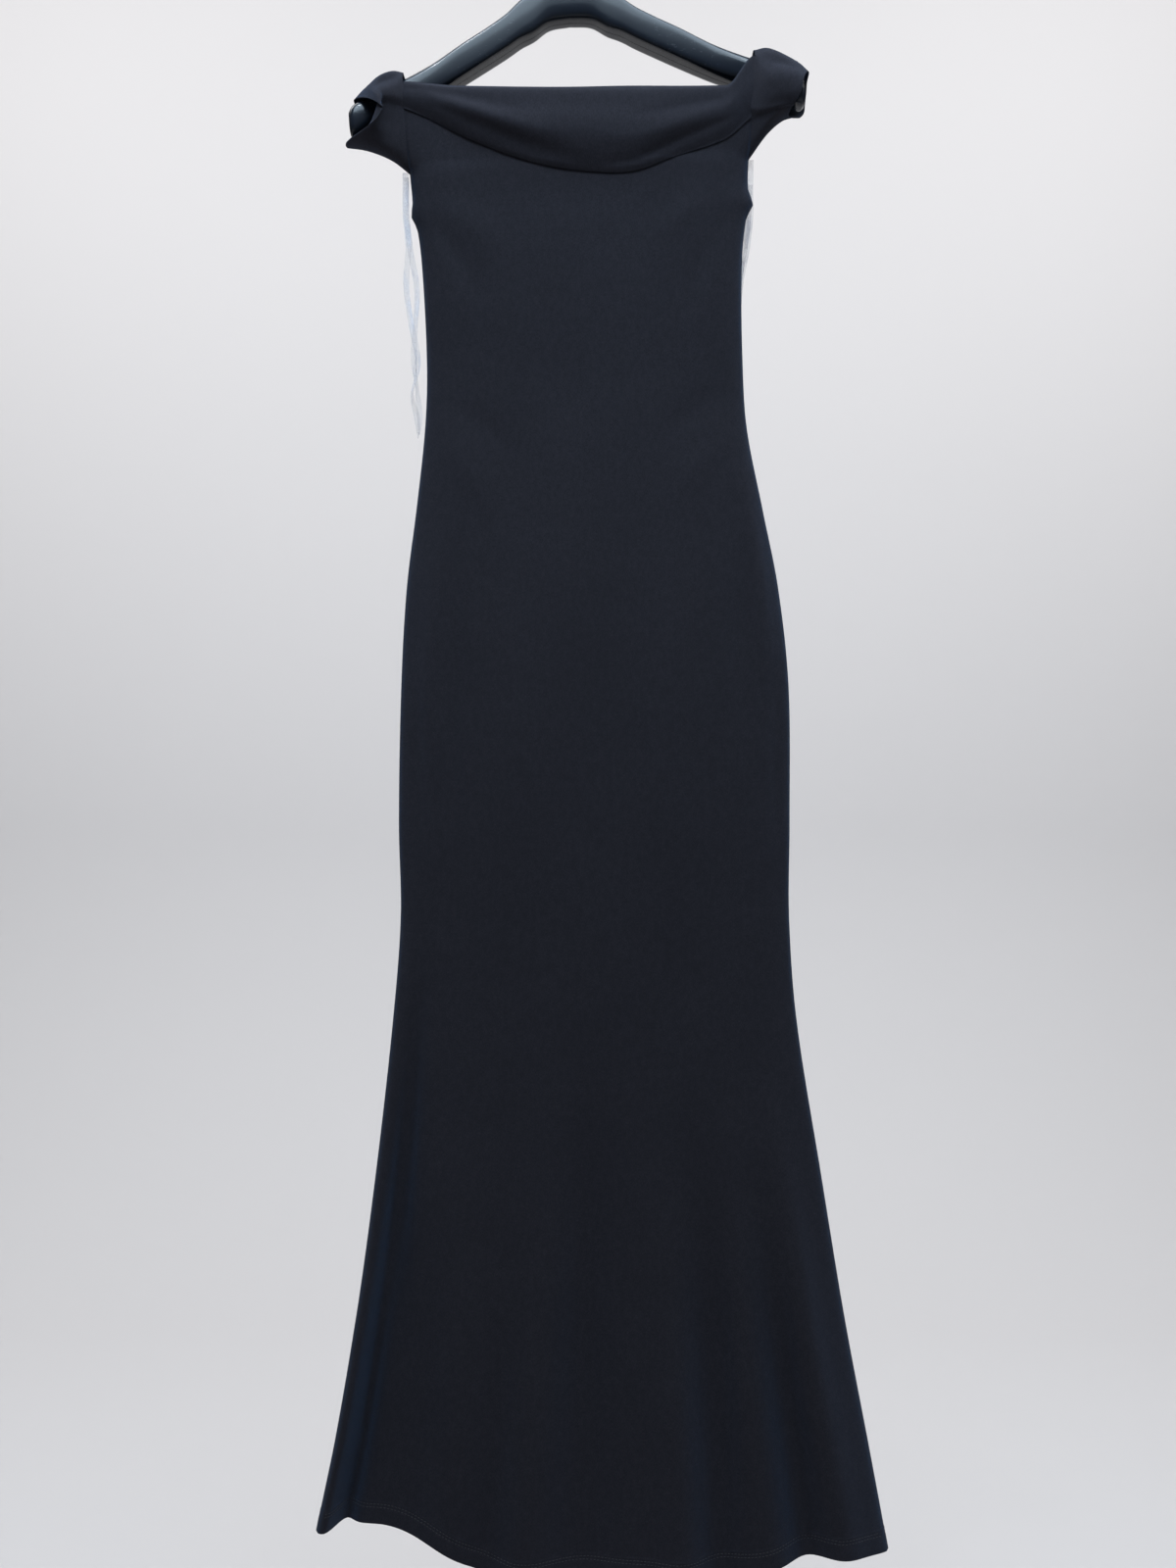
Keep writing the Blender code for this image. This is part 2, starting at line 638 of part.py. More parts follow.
def build():
    """All the pieces of the dress and its hanger."""
    for leftover in list(bpy.data.objects):
        bpy.data.objects.remove(leftover, do_unlink=True)
    stand = bpy.data.objects.new("hung_dress", None)
    bpy.context.scene.collection.objects.link(stand)
    add_piece("front_panel", panel_mesh("front_panel", -1, FRONT_COLUMNS), KNIT, stand)
    add_piece("back_panel", panel_mesh("back_panel", 1, BACK_COLUMNS), KNIT, stand)
    front_band = band_mesh("neck_band_front", -1, FRONT_COLUMNS, FRONT_BAND)
    back_band = band_mesh("neck_band_back", 1, BACK_COLUMNS, BACK_BAND)
    add_piece("neck_band_front", front_band, KNIT, stand)
    add_piece("neck_band_back", back_band, KNIT, stand)
    add_piece("sleeve_left", sleeve_mesh("sleeve_left", -1, SLEEVE_LEFT, ARCH_LEFT), KNIT, stand)
    add_piece("sleeve_right", sleeve_mesh("sleeve_right", 1, SLEEVE_RIGHT, ARCH_RIGHT), KNIT, stand)
    add_piece("hanger_loop_left", tape_mesh("hanger_loop_left", LOOP_LEFT), CLEAR_TAPE, stand)
    add_piece("hanger_loop_right", tape_mesh("hanger_loop_right", LOOP_RIGHT), CLEAR_TAPE, stand)
    add_piece("hanger_body", hanger_mesh("hanger_body"), GLOSS_PLASTIC, stand)
    hook = bpy.data.objects.new("hanger_hook", hook_curve("hanger_hook"))
    hook.data.materials.append(material_for(HOOK_METAL))
    hook.parent = stand
    bpy.context.scene.collection.objects.link(hook)


build()
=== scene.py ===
"""Looks of a dark knit maxi dress that hangs on a moulded hanger.

Metres, +Z up, front of the dress towards -Y. "Drop" is a distance down from the top of the inside
of the hanger's hook, which is the origin. Left and right are as seen from the front.
"""

import math
from collections import namedtuple

import bpy
import numpy as np
from bpy.props import FloatProperty, FloatVectorProperty, IntProperty, PointerProperty
from mathutils import Matrix, Vector


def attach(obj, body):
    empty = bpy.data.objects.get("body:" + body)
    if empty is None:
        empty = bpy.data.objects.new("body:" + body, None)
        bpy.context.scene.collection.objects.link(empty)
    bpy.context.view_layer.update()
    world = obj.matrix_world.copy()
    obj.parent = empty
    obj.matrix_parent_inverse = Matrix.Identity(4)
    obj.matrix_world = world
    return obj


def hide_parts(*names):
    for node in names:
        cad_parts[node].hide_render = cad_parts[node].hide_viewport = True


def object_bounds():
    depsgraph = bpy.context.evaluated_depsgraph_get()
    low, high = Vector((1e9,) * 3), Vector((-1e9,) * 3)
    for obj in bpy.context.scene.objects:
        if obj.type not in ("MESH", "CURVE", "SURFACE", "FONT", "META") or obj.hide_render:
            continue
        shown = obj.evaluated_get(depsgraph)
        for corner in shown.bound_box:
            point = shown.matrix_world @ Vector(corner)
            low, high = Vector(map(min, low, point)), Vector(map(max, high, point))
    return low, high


bl_info = {
    "name": "Hung Maxi Dress",
    "version": (1, 0, 0),
    "blender": (4, 5, 0),
    "location": "3D View > Sidebar > Dress",
    "description": "Knit cloth, loops and hanger of a maxi dress that hangs by its hook",
    "category": "Add Mesh",
}

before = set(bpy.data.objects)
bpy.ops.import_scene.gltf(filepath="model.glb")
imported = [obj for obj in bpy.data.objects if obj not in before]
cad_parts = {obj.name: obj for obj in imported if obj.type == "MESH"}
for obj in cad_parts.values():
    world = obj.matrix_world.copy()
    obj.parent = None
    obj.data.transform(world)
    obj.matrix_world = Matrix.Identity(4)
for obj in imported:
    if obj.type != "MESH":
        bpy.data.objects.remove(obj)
SOLIDS_LOW, SOLIDS_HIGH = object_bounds()

# Neckline, underarm and hem
SEAM_GAP = 0.0003
SEWN_GAP = 0.00005
NECK_DROP = 0.1955
NECK_RISE_LEFT = 0.0030
NECK_RISE_RIGHT = 0.0265
NECK_RISE_WIDTH_LEFT = 0.052
NECK_RISE_WIDTH_RIGHT = 0.026
BACK_NECK_DROP = 0.2020
UNDERARM_DROP = 0.2587
UNDERARM_SLOPE = 0.042
SLOPE_GONE_DROP = 0.445
HEM_DROP = 1.578
HEM_CURVE_DROP = 1.15
HEM_RISE_LEFT = 0.050
HEM_RISE_RIGHT = 0.018
HEM_RISE_FROM = 0.3
HEM_RISE_TO = 0.8
ARMHOLE_HALF_DEPTH = 0.022
ARMHOLE_FORWARD = 0.0235
EDGE_CROWDING = 0.35
SECTION_POWER = 2.5

# Skirt fold that turns forward along the left side seam
TAIL_START_DROP = 0.95
TAIL_FORWARD = 0.030
TAIL_WIDTH = 0.014
TAIL_EDGE = 0.005
FLUTE_GROWTH = 1.25
FLUTE_EDGE_FADE = 3.0

# Outline of the dress: reach of the side edges, depth of the panels, turn of the edges forward
Level = namedtuple("Level", "drop left right front back forward")
LEVELS = (
    Level(NECK_DROP, -0.1470, 0.1764, 0.0360, 0.0150, ARMHOLE_FORWARD),
    Level(0.2587, -0.1427, 0.1737, 0.0320, 0.0145, 0.0215),
    Level(0.2860, -0.1405, 0.1737, 0.0300, 0.0140, 0.0190),
    Level(0.2980, -0.1418, 0.1785, 0.0295, 0.0140, 0.0180),
    Level(0.3105, -0.1362, 0.1720, 0.0290, 0.0140, 0.0170),
    Level(0.3560, -0.1316, 0.1682, 0.0265, 0.0130, 0.0130),
    Level(0.4445, -0.1284, 0.1700, 0.0210, 0.0120, 0.0060),
    Level(0.5000, -0.1306, 0.1742, 0.0200, 0.0125, 0.0035),
    Level(0.5750, -0.1390, 0.1893, 0.0195, 0.0140, 0.0010),
    Level(0.6490, -0.1483, 0.2041, 0.0200, 0.0155, 0.0),
    Level(0.7420, -0.1535, 0.2140, 0.0200, 0.0165, 0.0),
    Level(0.8720, -0.1558, 0.2150, 0.0190, 0.0160, 0.0),
    Level(0.9600, -0.1540, 0.2145, 0.0180, 0.0160, 0.0),
    Level(1.0580, -0.1610, 0.2215, 0.0180, 0.0170, 0.0),
    Level(1.2070, -0.1765, 0.2450, 0.0200, 0.0190, 0.0),
    Level(1.3560, -0.1930, 0.2683, 0.0220, 0.0210, 0.0),
    Level(1.4860, -0.2110, 0.2916, 0.0240, 0.0230, 0.0),
    Level(HEM_DROP, -0.2285, 0.3083, 0.0250, 0.0240, 0.0),
)

# Flutes of the skirt: place as a share of the width from the left, at the start and at the hem
Flute = namedtuple("Flute", "start_place hem_place width depth start_drop")
FRONT_FLUTES = (
    Flute(0.060, 0.044, 0.009, -0.0120, 0.93),
    Flute(0.190, 0.222, 0.026, 0.0070, 1.05),
    Flute(0.300, 0.290, 0.018, -0.0045, 1.25),
    Flute(0.370, 0.358, 0.026, 0.0080, 1.15),
    Flute(0.500, 0.461, 0.030, -0.0100, 0.90),
    Flute(0.640, 0.631, 0.022, 0.0090, 1.15),
    Flute(0.720, 0.700, 0.018, -0.0090, 1.10),
    Flute(0.790, 0.785, 0.022, 0.0060, 1.05),
    Flute(0.860, 0.853, 0.018, -0.0120, 1.18),
    Flute(0.910, 0.921, 0.020, 0.0080, 1.10),
)
BACK_FLUTES = (
    Flute(0.150, 0.120, 0.024, 0.0090, 1.00),
    Flute(0.260, 0.235, 0.026, -0.0100, 1.12),
    Flute(0.390, 0.375, 0.034, 0.0120, 0.95),
    Flute(0.500, 0.520, 0.030, -0.0110, 1.05),
    Flute(0.620, 0.655, 0.032, 0.0100, 1.20),
    Flute(0.740, 0.770, 0.026, -0.0120, 1.00),
    Flute(0.860, 0.885, 0.024, 0.0080, 1.10),
)

# Creases of the cloth: a soft ridge, or a trough where height is negative, from one point to
# another, bowed sideways in the middle
Crease = namedtuple("Crease", "x drop foot_x foot_drop width height bow")
FRONT_CREASES = (
    Crease(-0.112, 0.560, -0.126, 0.860, 0.011, 0.0024, -0.004),
    Crease(-0.095, 0.575, -0.104, 0.960, 0.013, -0.0018, -0.003),
    Crease(-0.140, 0.700, -0.136, 0.930, 0.008, -0.0016, 0.002),
    Crease(0.170, 0.520, 0.189, 0.760, 0.013, 0.0026, 0.006),
    Crease(0.152, 0.500, 0.166, 0.830, 0.013, -0.0018, 0.005),
    Crease(0.203, 0.690, 0.200, 0.930, 0.008, -0.0016, 0.002),
    Crease(-0.124, 0.470, -0.045, 0.540, 0.012, -0.0014, 0.010),
    Crease(-0.122, 0.505, -0.060, 0.600, 0.011, 0.0011, 0.009),
    Crease(0.164, 0.462, 0.085, 0.528, 0.012, -0.0014, -0.010),
    Crease(0.168, 0.500, 0.100, 0.585, 0.011, 0.0011, -0.009),
    Crease(-0.130, 0.300, -0.070, 0.400, 0.011, -0.0016, 0.008),
    Crease(-0.118, 0.290, -0.040, 0.365, 0.012, 0.0013, 0.010),
    Crease(0.162, 0.300, 0.112, 0.410, 0.011, -0.0016, -0.008),
    Crease(0.150, 0.285, 0.080, 0.352, 0.012, 0.0013, -0.010),
    Crease(-0.060, 0.330, -0.046, 0.520, 0.020, 0.0011, 0.003),
    Crease(0.000, 0.345, 0.006, 0.560, 0.022, -0.0011, -0.003),
    Crease(0.062, 0.330, 0.058, 0.545, 0.020, 0.0012, 0.004),
    Crease(-0.045, 0.640, -0.052, 0.990, 0.022, 0.0020, 0.003),
    Crease(0.028, 0.600, 0.026, 0.960, 0.024, -0.0020, 0.002),
    Crease(0.096, 0.640, 0.104, 1.020, 0.022, 0.0019, -0.003),
    Crease(-0.128, 0.960, -0.160, 1.480, 0.011, -0.0042, -0.004),
    Crease(0.016, 1.020, 0.010, 1.560, 0.016, -0.0034, 0.004),
    Crease(0.136, 1.200, 0.158, 1.575, 0.013, -0.0040, 0.003),
    Crease(0.188, 1.080, 0.246, 1.570, 0.014, 0.0040, 0.004),
)
BACK_CREASES = (
    Crease(-0.118, 0.540, -0.128, 0.830, 0.012, 0.0022, -0.004),
    Crease(-0.098, 0.560, -0.110, 0.900, 0.013, -0.0017, -0.003),
    Crease(0.166, 0.530, 0.182, 0.800, 0.013, 0.0022, 0.005),
    Crease(0.146, 0.520, 0.160, 0.870, 0.013, -0.0017, 0.004),
    Crease(-0.118, 0.455, -0.030, 0.500, 0.012, -0.0016, 0.010),
    Crease(-0.116, 0.490, -0.026, 0.550, 0.012, 0.0014, 0.010),
    Crease(0.158, 0.460, 0.070, 0.510, 0.012, -0.0016, -0.010),
    Crease(0.160, 0.500, 0.080, 0.565, 0.012, 0.0014, -0.009),
    Crease(-0.126, 0.310, -0.060, 0.370, 0.012, -0.0014, 0.008),
    Crease(0.158, 0.305, 0.096, 0.380, 0.012, -0.0014, -0.008),
    Crease(-0.040, 0.320, -0.034, 0.470, 0.020, 0.0012, 0.003),
    Crease(0.030, 0.330, 0.024, 0.480, 0.022, -0.0012, 0.003),
    Crease(-0.060, 0.620, -0.070, 0.950, 0.024, -0.0012, 0.003),
    Crease(0.010, 0.600, 0.008, 0.930, 0.026, 0.0014, 0.002),
    Crease(0.084, 0.630, 0.094, 0.960, 0.024, -0.0012, -0.003),
    Crease(0.150, 1.030, 0.196, 1.380, 0.014, 0.0016, 0.004),
    Crease(-0.126, 1.040, -0.160, 1.400, 0.014, -0.0016, -0.004),
)

# Folded-over neckline: how far it hangs and how full it is, across the width
BandPlace = namedtuple("BandPlace", "place depth fullness")
FRONT_BAND = (
    BandPlace(0.00, 0.0190, 0.0040),
    BandPlace(0.08, 0.0270, 0.0080),
    BandPlace(0.20, 0.0440, 0.0125),
    BandPlace(0.36, 0.0620, 0.0140),
    BandPlace(0.52, 0.0720, 0.0130),
    BandPlace(0.66, 0.0740, 0.0120),
    BandPlace(0.78, 0.0630, 0.0105),
    BandPlace(0.90, 0.0520, 0.0070),
    BandPlace(1.00, 0.0400, 0.0040),
)
BACK_BAND = (
    BandPlace(0.00, 0.0190, 0.0040),
    BandPlace(0.25, 0.0420, 0.0110),
    BandPlace(0.50, 0.0500, 0.0125),
    BandPlace(0.75, 0.0450, 0.0110),
    BandPlace(1.00, 0.0300, 0.0040),
)
# Section of the fold: way along it, way down its face as a share, stand off the panel as a share
BandSection = namedtuple("BandSection", "way down off")
BAND_SECTION = (
    BandSection(0.00, 0.000, 0.00),
    BandSection(0.04, -0.035, 0.10),
    BandSection(0.09, -0.050, 0.30),
    BandSection(0.17, 0.030, 0.62),
    BandSection(0.30, 0.220, 0.80),
    BandSection(0.46, 0.420, 0.98),
    BandSection(0.60, 0.590, 0.97),
    BandSection(0.74, 0.760, 0.72),
    BandSection(0.85, 0.890, 0.42),
    BandSection(0.93, 0.965, 0.22),
    BandSection(1.00, 1.000, 0.10),
)
BAND_LEAST_OFF = 0.0013
BAND_ROLL_RISE = 0.0040
BAND_EDGE_RISE = 0.0022
BAND_BOW_POWER = 0.7
BAND_HUMP_X = 0.060
BAND_HUMP_WIDTH = 0.045
BAND_HUMP_RISE = 0.0012

# Soft swags of the fold, from a shoulder towards the middle, as shares of the width and of the hang
Swag = namedtuple("Swag", "place down end_place end_down width height")
FRONT_SWAGS = (
    Swag(0.02, 0.55, 0.50, 0.84, 0.0060, -0.0022),
    Swag(0.04, 0.35, 0.46, 0.60, 0.0070, 0.0014),
    Swag(0.05, 0.20, 0.40, 0.34, 0.0060, -0.0010),
    Swag(0.97, 0.62, 0.56, 0.90, 0.0050, -0.0016),
    Swag(0.96, 0.40, 0.58, 0.66, 0.0070, 0.0012),
    Swag(0.94, 0.22, 0.62, 0.36, 0.0060, -0.0009),
)
BACK_SWAGS = (
    Swag(0.03, 0.50, 0.48, 0.80, 0.0060, -0.0018),
    Swag(0.97, 0.50, 0.54, 0.78, 0.0060, -0.0018),
    Swag(0.10, 0.25, 0.90, 0.30, 0.0080, 0.0010),
)

# Sleeves: rings outwards from the armhole
SleeveRing = namedtuple("SleeveRing", "reach centre depth top wide bottom scoop tuck")
SLEEVE_LEFT = (
    SleeveRing(0.014, -0.0265, 0.0235, -0.1765, -0.2000, -0.2558, 0.000, 0.000),
    SleeveRing(0.028, -0.0310, 0.0245, -0.1825, -0.2080, -0.2503, 0.005, 0.000),
    SleeveRing(0.040, -0.0360, 0.0250, -0.1950, -0.2150, -0.2470, 0.016, -0.004),
    SleeveRing(0.049, -0.0390, 0.0245, -0.2060, -0.2240, -0.2460, 0.028, -0.008),
)
SLEEVE_RIGHT = (
    SleeveRing(0.014, -0.0275, 0.0235, -0.1540, -0.1850, -0.2335, 0.000, 0.000),
    SleeveRing(0.027, -0.0310, 0.0245, -0.1605, -0.1890, -0.2245, 0.001, 0.004),
    SleeveRing(0.041, -0.0355, 0.0245, -0.1695, -0.1960, -0.2185, 0.004, 0.010),
    SleeveRing(0.053, -0.0390, 0.0240, -0.1820, -0.2010, -0.2165, 0.008, 0.018),
)
ARCH_LEFT = 0.0147
ARCH_RIGHT = 0.0105

# The folded-over neckline goes on over a sleeve: angles of its lower edge at the front and at the
# back, at the armhole and at the cuff, and how far it stands out. Angles go round the sleeve from
# 0 at the underside by 90 at the front to 180 at the top.
SleeveFold = namedtuple("SleeveFold", "front front_cuff back back_cuff height")
FOLD_LEFT = SleeveFold(72.5, 87.0, 287.0, 280.0, 0.0034)
FOLD_RIGHT = SleeveFold(50.7, 30.0, 298.0, 310.0, 0.0034)
FOLD_LIP = 7.0
FOLD_TOP_SHARE = 0.2
FOLD_CUFF_LOSS = 0.45
FOLD_TOP_FRONT = (125.0, 165.0)
FOLD_TOP_BACK = (200.0, 240.0)

# Creases of a sleeve: they run outwards from the armhole at an angle round it
SleeveCrease = namedtuple("SleeveCrease", "angle turn spread start end height")
SLEEVE_LEFT_CREASES = (
    SleeveCrease(35, -12, 11, 0.00, 0.75, 0.0013),
    SleeveCrease(58, 10, 10, 0.05, 0.95, -0.0016),
    SleeveCrease(84, 14, 12, 0.00, 0.90, 0.0019),
    SleeveCrease(112, 10, 10, 0.05, 0.85, -0.0015),
    SleeveCrease(138, -8, 11, 0.00, 0.70, 0.0013),
    SleeveCrease(168, 6, 13, 0.10, 0.90, -0.0012),
    SleeveCrease(205, 8, 14, 0.00, 0.80, 0.0012),
    SleeveCrease(245, -8, 14, 0.05, 0.90, -0.0014),
    SleeveCrease(300, 10, 16, 0.00, 0.80, 0.0012),
)
SLEEVE_RIGHT_CREASES = (
    SleeveCrease(30, 10, 12, 0.00, 0.80, 0.0012),
    SleeveCrease(55, -10, 10, 0.05, 0.90, -0.0015),
    SleeveCrease(80, 8, 12, 0.00, 0.75, 0.0014),
    SleeveCrease(108, 12, 11, 0.10, 0.95, -0.0014),
    SleeveCrease(140, -6, 12, 0.00, 0.70, 0.0012),
    SleeveCrease(185, 8, 14, 0.05, 0.85, -0.0011),
    SleeveCrease(230, -8, 14, 0.00, 0.85, 0.0013),
    SleeveCrease(285, 10, 15, 0.05, 0.90, -0.0013),
)

# Hanger: one row for each place along an arm, in the hanger's own frame before its tilt
HANGER_TILT = math.radians(4.0)
HANGER_HALF_LENGTH = 0.209
HANGER_FORWARD = 0.040
ArmSection = namedtuple("ArmSection", "reach height tall deep square")
ARM_SECTIONS = (
    ArmSection(0.000, -0.0908, 0.0456, 0.0270, 5.0),
    ArmSection(0.020, -0.0932, 0.0458, 0.0275, 5.0),
    ArmSection(0.035, -0.1055, 0.0395, 0.0280, 6.0),
    ArmSection(0.047, -0.1132, 0.0345, 0.0285, 7.0),
    ArmSection(0.060, -0.1233, 0.0310, 0.0290, 7.0),
    ArmSection(0.079, -0.1356, 0.0296, 0.0290, 7.0),
    ArmSection(0.101, -0.1494, 0.0294, 0.0290, 6.5),
    ArmSection(0.133, -0.1703, 0.0282, 0.0285, 4.5),
    ArmSection(0.165, -0.1882, 0.0272, 0.0300, 3.2),
    ArmSection(0.188, -0.2020, 0.0285, 0.0320, 3.0),
    ArmSection(0.200, -0.2095, 0.0300, 0.0315, 3.0),
    ArmSection(0.206, -0.2130, 0.0280, 0.0285, 3.0),
    ArmSection(0.209, -0.2145, 0.0215, 0.0215, 3.0),
)
ARM_CROWDING = 0.999
PARTING_RADIUS = 0.00045
PARTING_END = 0.98
PARTING_PROUD = 0.6
PARTING_SUNK = 0.15
HOOK_WIRE = 0.0042
HOOK_INNER_RADIUS = 0.020
HOOK_FOOT_DROP = 0.0676
HOOK_START = math.radians(-52)
HOOK_END = math.radians(206)
HOOK_STEM_PULL = 0.022
HOOK_TIP_STEPS = 6

# Clear hanger loops: the way of the tape, in the order it runs
TapePoint = namedtuple("TapePoint", "x y z")
LOOP_LEFT = (
    TapePoint(-0.1465, -0.0235, -0.2650),
    TapePoint(-0.1466, -0.0235, -0.3000),
    TapePoint(-0.1440, -0.0230, -0.3350),
    TapePoint(-0.1460, -0.0220, -0.3680),
    TapePoint(-0.1425, -0.0210, -0.4000),
    TapePoint(-0.1350, -0.0200, -0.4420),
    TapePoint(-0.1405, -0.0190, -0.4700),
    TapePoint(-0.1365, -0.0170, -0.4930),
    TapePoint(-0.1355, -0.0140, -0.5080),
    TapePoint(-0.1347, -0.0112, -0.4900),
    TapePoint(-0.1370, -0.0112, -0.4640),
    TapePoint(-0.1400, -0.0120, -0.4380),
    TapePoint(-0.1390, -0.0130, -0.4080),
    TapePoint(-0.1370, -0.0140, -0.3700),
    TapePoint(-0.1430, -0.0150, -0.3350),
    TapePoint(-0.1466, -0.0160, -0.3000),
    TapePoint(-0.1468, -0.0170, -0.2665),
)
LOOP_RIGHT = (
    TapePoint(0.1762, -0.0165, -0.2500),
    TapePoint(0.1760, -0.0150, -0.2750),
    TapePoint(0.1770, -0.0085, -0.2970),
    TapePoint(0.1745, -0.0040, -0.3250),
    TapePoint(0.1690, 0.0040, -0.3600),
    TapePoint(0.1660, 0.0110, -0.4000),
    TapePoint(0.1650, 0.0140, -0.4200),
    TapePoint(0.1645, 0.0165, -0.4120),
    TapePoint(0.1680, 0.0140, -0.3600),
    TapePoint(0.1730, 0.0080, -0.3250),
    TapePoint(0.1760, 0.0010, -0.2970),
    TapePoint(0.1762, -0.0090, -0.2700),
)
LOOP_WIDTH = 0.0055
LOOP_THICKNESS = 0.0005

# Hems and their sewing
HEM_TURN = 0.022
HEM_PROUD = 0.0004
CUFF_TURN = 0.012
CUFF_ROW_IN = 0.0025
TURN_SOFTNESS = 0.0015
GROOVE_WIDTH = 0.0009
GROOVE_DEPTH = 0.0003
STITCH_ROWS = (0.0185, 0.0155)
STITCH_PITCH = 0.0034
STITCH_LENGTH = 0.0026
STITCH_THICKNESS = 0.00042
STITCH_BREADTH = 1.2
STITCH_LIFT = 0.0002
SMOOTH_ANGLE = math.radians(50.0)

# Cut sizes of the cloth, laid flat
FlatCut = namedtuple("FlatCut", "width length area")

# Camera, in front of the middle of the dress and level
CAMERA_PLACE = (0.0237, -1.40, -0.8351)
CAMERA_SENSOR = 36.0
CAMERA_LENS = 33.87

# Backdrop: half its width, its near and far edges, the bend from floor to wall, and its top
BACKDROP_HALF_WIDTH = 6.0
BACKDROP_NEAR = -5.0
BACKDROP_FAR = 3.4
BACKDROP_BEND = 1.2
BACKDROP_TOP = 4.0
ROOM_COLOUR = (0.95, 0.94, 0.96, 1.0)
ROOM_STRENGTH = 0.07

# Lamps: the setting that gives the power, the share of it, where the lamp is and where it looks
Lamp = namedtuple("Lamp", "name power share place target size colour")
WHITE = (1.0, 1.0, 1.0)
SKY_BLUE = (0.68, 0.85, 1.0)
LAMPS = (
    Lamp("key_light", "key_power", 1.0, (0.1, -0.95, 1.0), (0.03, 0.0, -0.45), 1.2, SKY_BLUE),
    Lamp("fill_light", "fill_power", 1.0, (1.4, -2.6, -0.2), (0.03, 0.0, -0.75), 2.4, WHITE),
    Lamp("back_light", "fill_power", 3.0, (0.2, 1.9, 1.5), (0.03, 0.0, -0.75), 1.6, WHITE),
    Lamp("gloss_light", "gloss_power", 1.0, (-0.16, -0.85, 0.95), (-0.06, 0.0, -0.12), 0.06, WHITE),
    Lamp("wall_light", "wall_power", 0.5, (-2.0, 0.5, 2.2), (-1.2, 3.4, -1.0), 2.2, WHITE),
    Lamp("wall_light", "wall_power", 0.5, (2.0, 0.5, 2.2), (1.2, 3.4, -1.0), 2.2, WHITE),
)


class KnitSettings(bpy.types.PropertyGroup):
    """Sizes and colours of the knit cloth."""

    thickness: FloatProperty(
        name="Thickness", description="Thickness of the cloth", default=0.0013, unit="LENGTH")
    crease_share: FloatProperty(
        name="Creases", description="How strongly the cloth is creased", default=1.0, subtype="FACTOR")
    wale_width: FloatProperty(
        name="Wale width", description="Width of one column of stitches", default=0.0011, unit="LENGTH")
    course_height: FloatProperty(
        name="Course height", description="Height of one row of stitches", default=0.0009, unit="LENGTH")
    colour: FloatVectorProperty(
        name="Colour", description="Colour of the yarn", default=(0.0198, 0.0194, 0.0242),
        subtype="COLOR", size=3)
    light_colour: FloatVectorProperty(
        name="Light fleck", description="Colour of the lighter fibres", default=(0.0385, 0.0378, 0.0480),
        subtype="COLOR", size=3)
    columns: IntProperty(name="Columns", description="Faces across a panel", default=136)
    rows: IntProperty(name="Rows", description="Faces down a panel", default=236)


class HangerSettings(bpy.types.PropertyGroup):
    """Colours of the hanger, its hook and the loops."""

    plastic: FloatVectorProperty(
        name="Plastic", description="Colour of the moulded arms", default=(0.009, 0.012, 0.018),
        subtype="COLOR", size=3)
    metal: FloatVectorProperty(
        name="Metal", description="Colour of the hook", default=(0.62, 0.62, 0.63),
        subtype="COLOR", size=3)
    tape: FloatVectorProperty(
        name="Tape", description="Colour of the clear loops", default=(0.50, 0.52, 0.58),
        subtype="COLOR", size=3)


class StageSettings(bpy.types.PropertyGroup):
    """Floor, backdrop and light."""

    backdrop: FloatVectorProperty(
        name="Backdrop", description="Colour of the floor and backdrop", default=(0.62, 0.607, 0.612),
        subtype="COLOR", size=3)
    key_power: FloatProperty(
        name="Key light", description="Power of the light above", default=46.0, unit="POWER")
    fill_power: FloatProperty(
        name="Fill light", description="Power of the light in front", default=2.0, unit="POWER")
    gloss_power: FloatProperty(
        name="Gloss light", description="Power of the small lamp over the hanger", default=2.6,
        unit="POWER")
    wall_power: FloatProperty(
        name="Wall light", description="Power of the light on the backdrop", default=225.0, unit="POWER")
    floor_gap: FloatProperty(
        name="Floor gap", description="Height of the hem above the floor", default=0.60, unit="LENGTH")


def ease(value, start, end):
    """Ease from 0 to 1 as value goes from start to end."""
    share = np.clip((value - start) / (end - start), 0.0, 1.0)
    return share * share * (3.0 - 2.0 * share)


def smooth_curve(keys, values, at):
    """Smooth curve through the values at the keys, held at its ends."""
    keys = np.asarray(keys, float)
    values = np.asarray(values, float)
    at = np.clip(np.asarray(at, float), keys[0], keys[-1])
    index = np.clip(np.searchsorted(keys, at, side="right") - 1, 0, len(keys) - 2)
    wide = (-1,) + (1,) * (values.ndim - 1)
    before = np.maximum(np.arange(len(keys)) - 1, 0)
    after = np.minimum(np.arange(len(keys)) + 1, len(keys) - 1)
    slopes = (values[after] - values[before]) / (keys[after] - keys[before]).reshape(wide)
    span = keys[index + 1] - keys[index]
    share = (at - keys[index]) / span
    if values.ndim > 1:
        share = share.reshape(share.shape + (1,) * (values.ndim - 1))
        span = span.reshape(share.shape)
    squared = share ** 2
    cubed = share ** 3
    return ((2 * cubed - 3 * squared + 1) * values[index]
            + (cubed - 2 * squared + share) * slopes[index] * span
            + (3 * squared - 2 * cubed) * values[index + 1]
            + (cubed - squared) * slopes[index + 1] * span)


def level_at(drop):
    """The outline of the dress at the drops."""
    drops = [level.drop for level in LEVELS]
    columns = [smooth_curve(drops, [level[c] for level in LEVELS], drop) for c in range(1, 6)]
    return Level(drop, *columns)


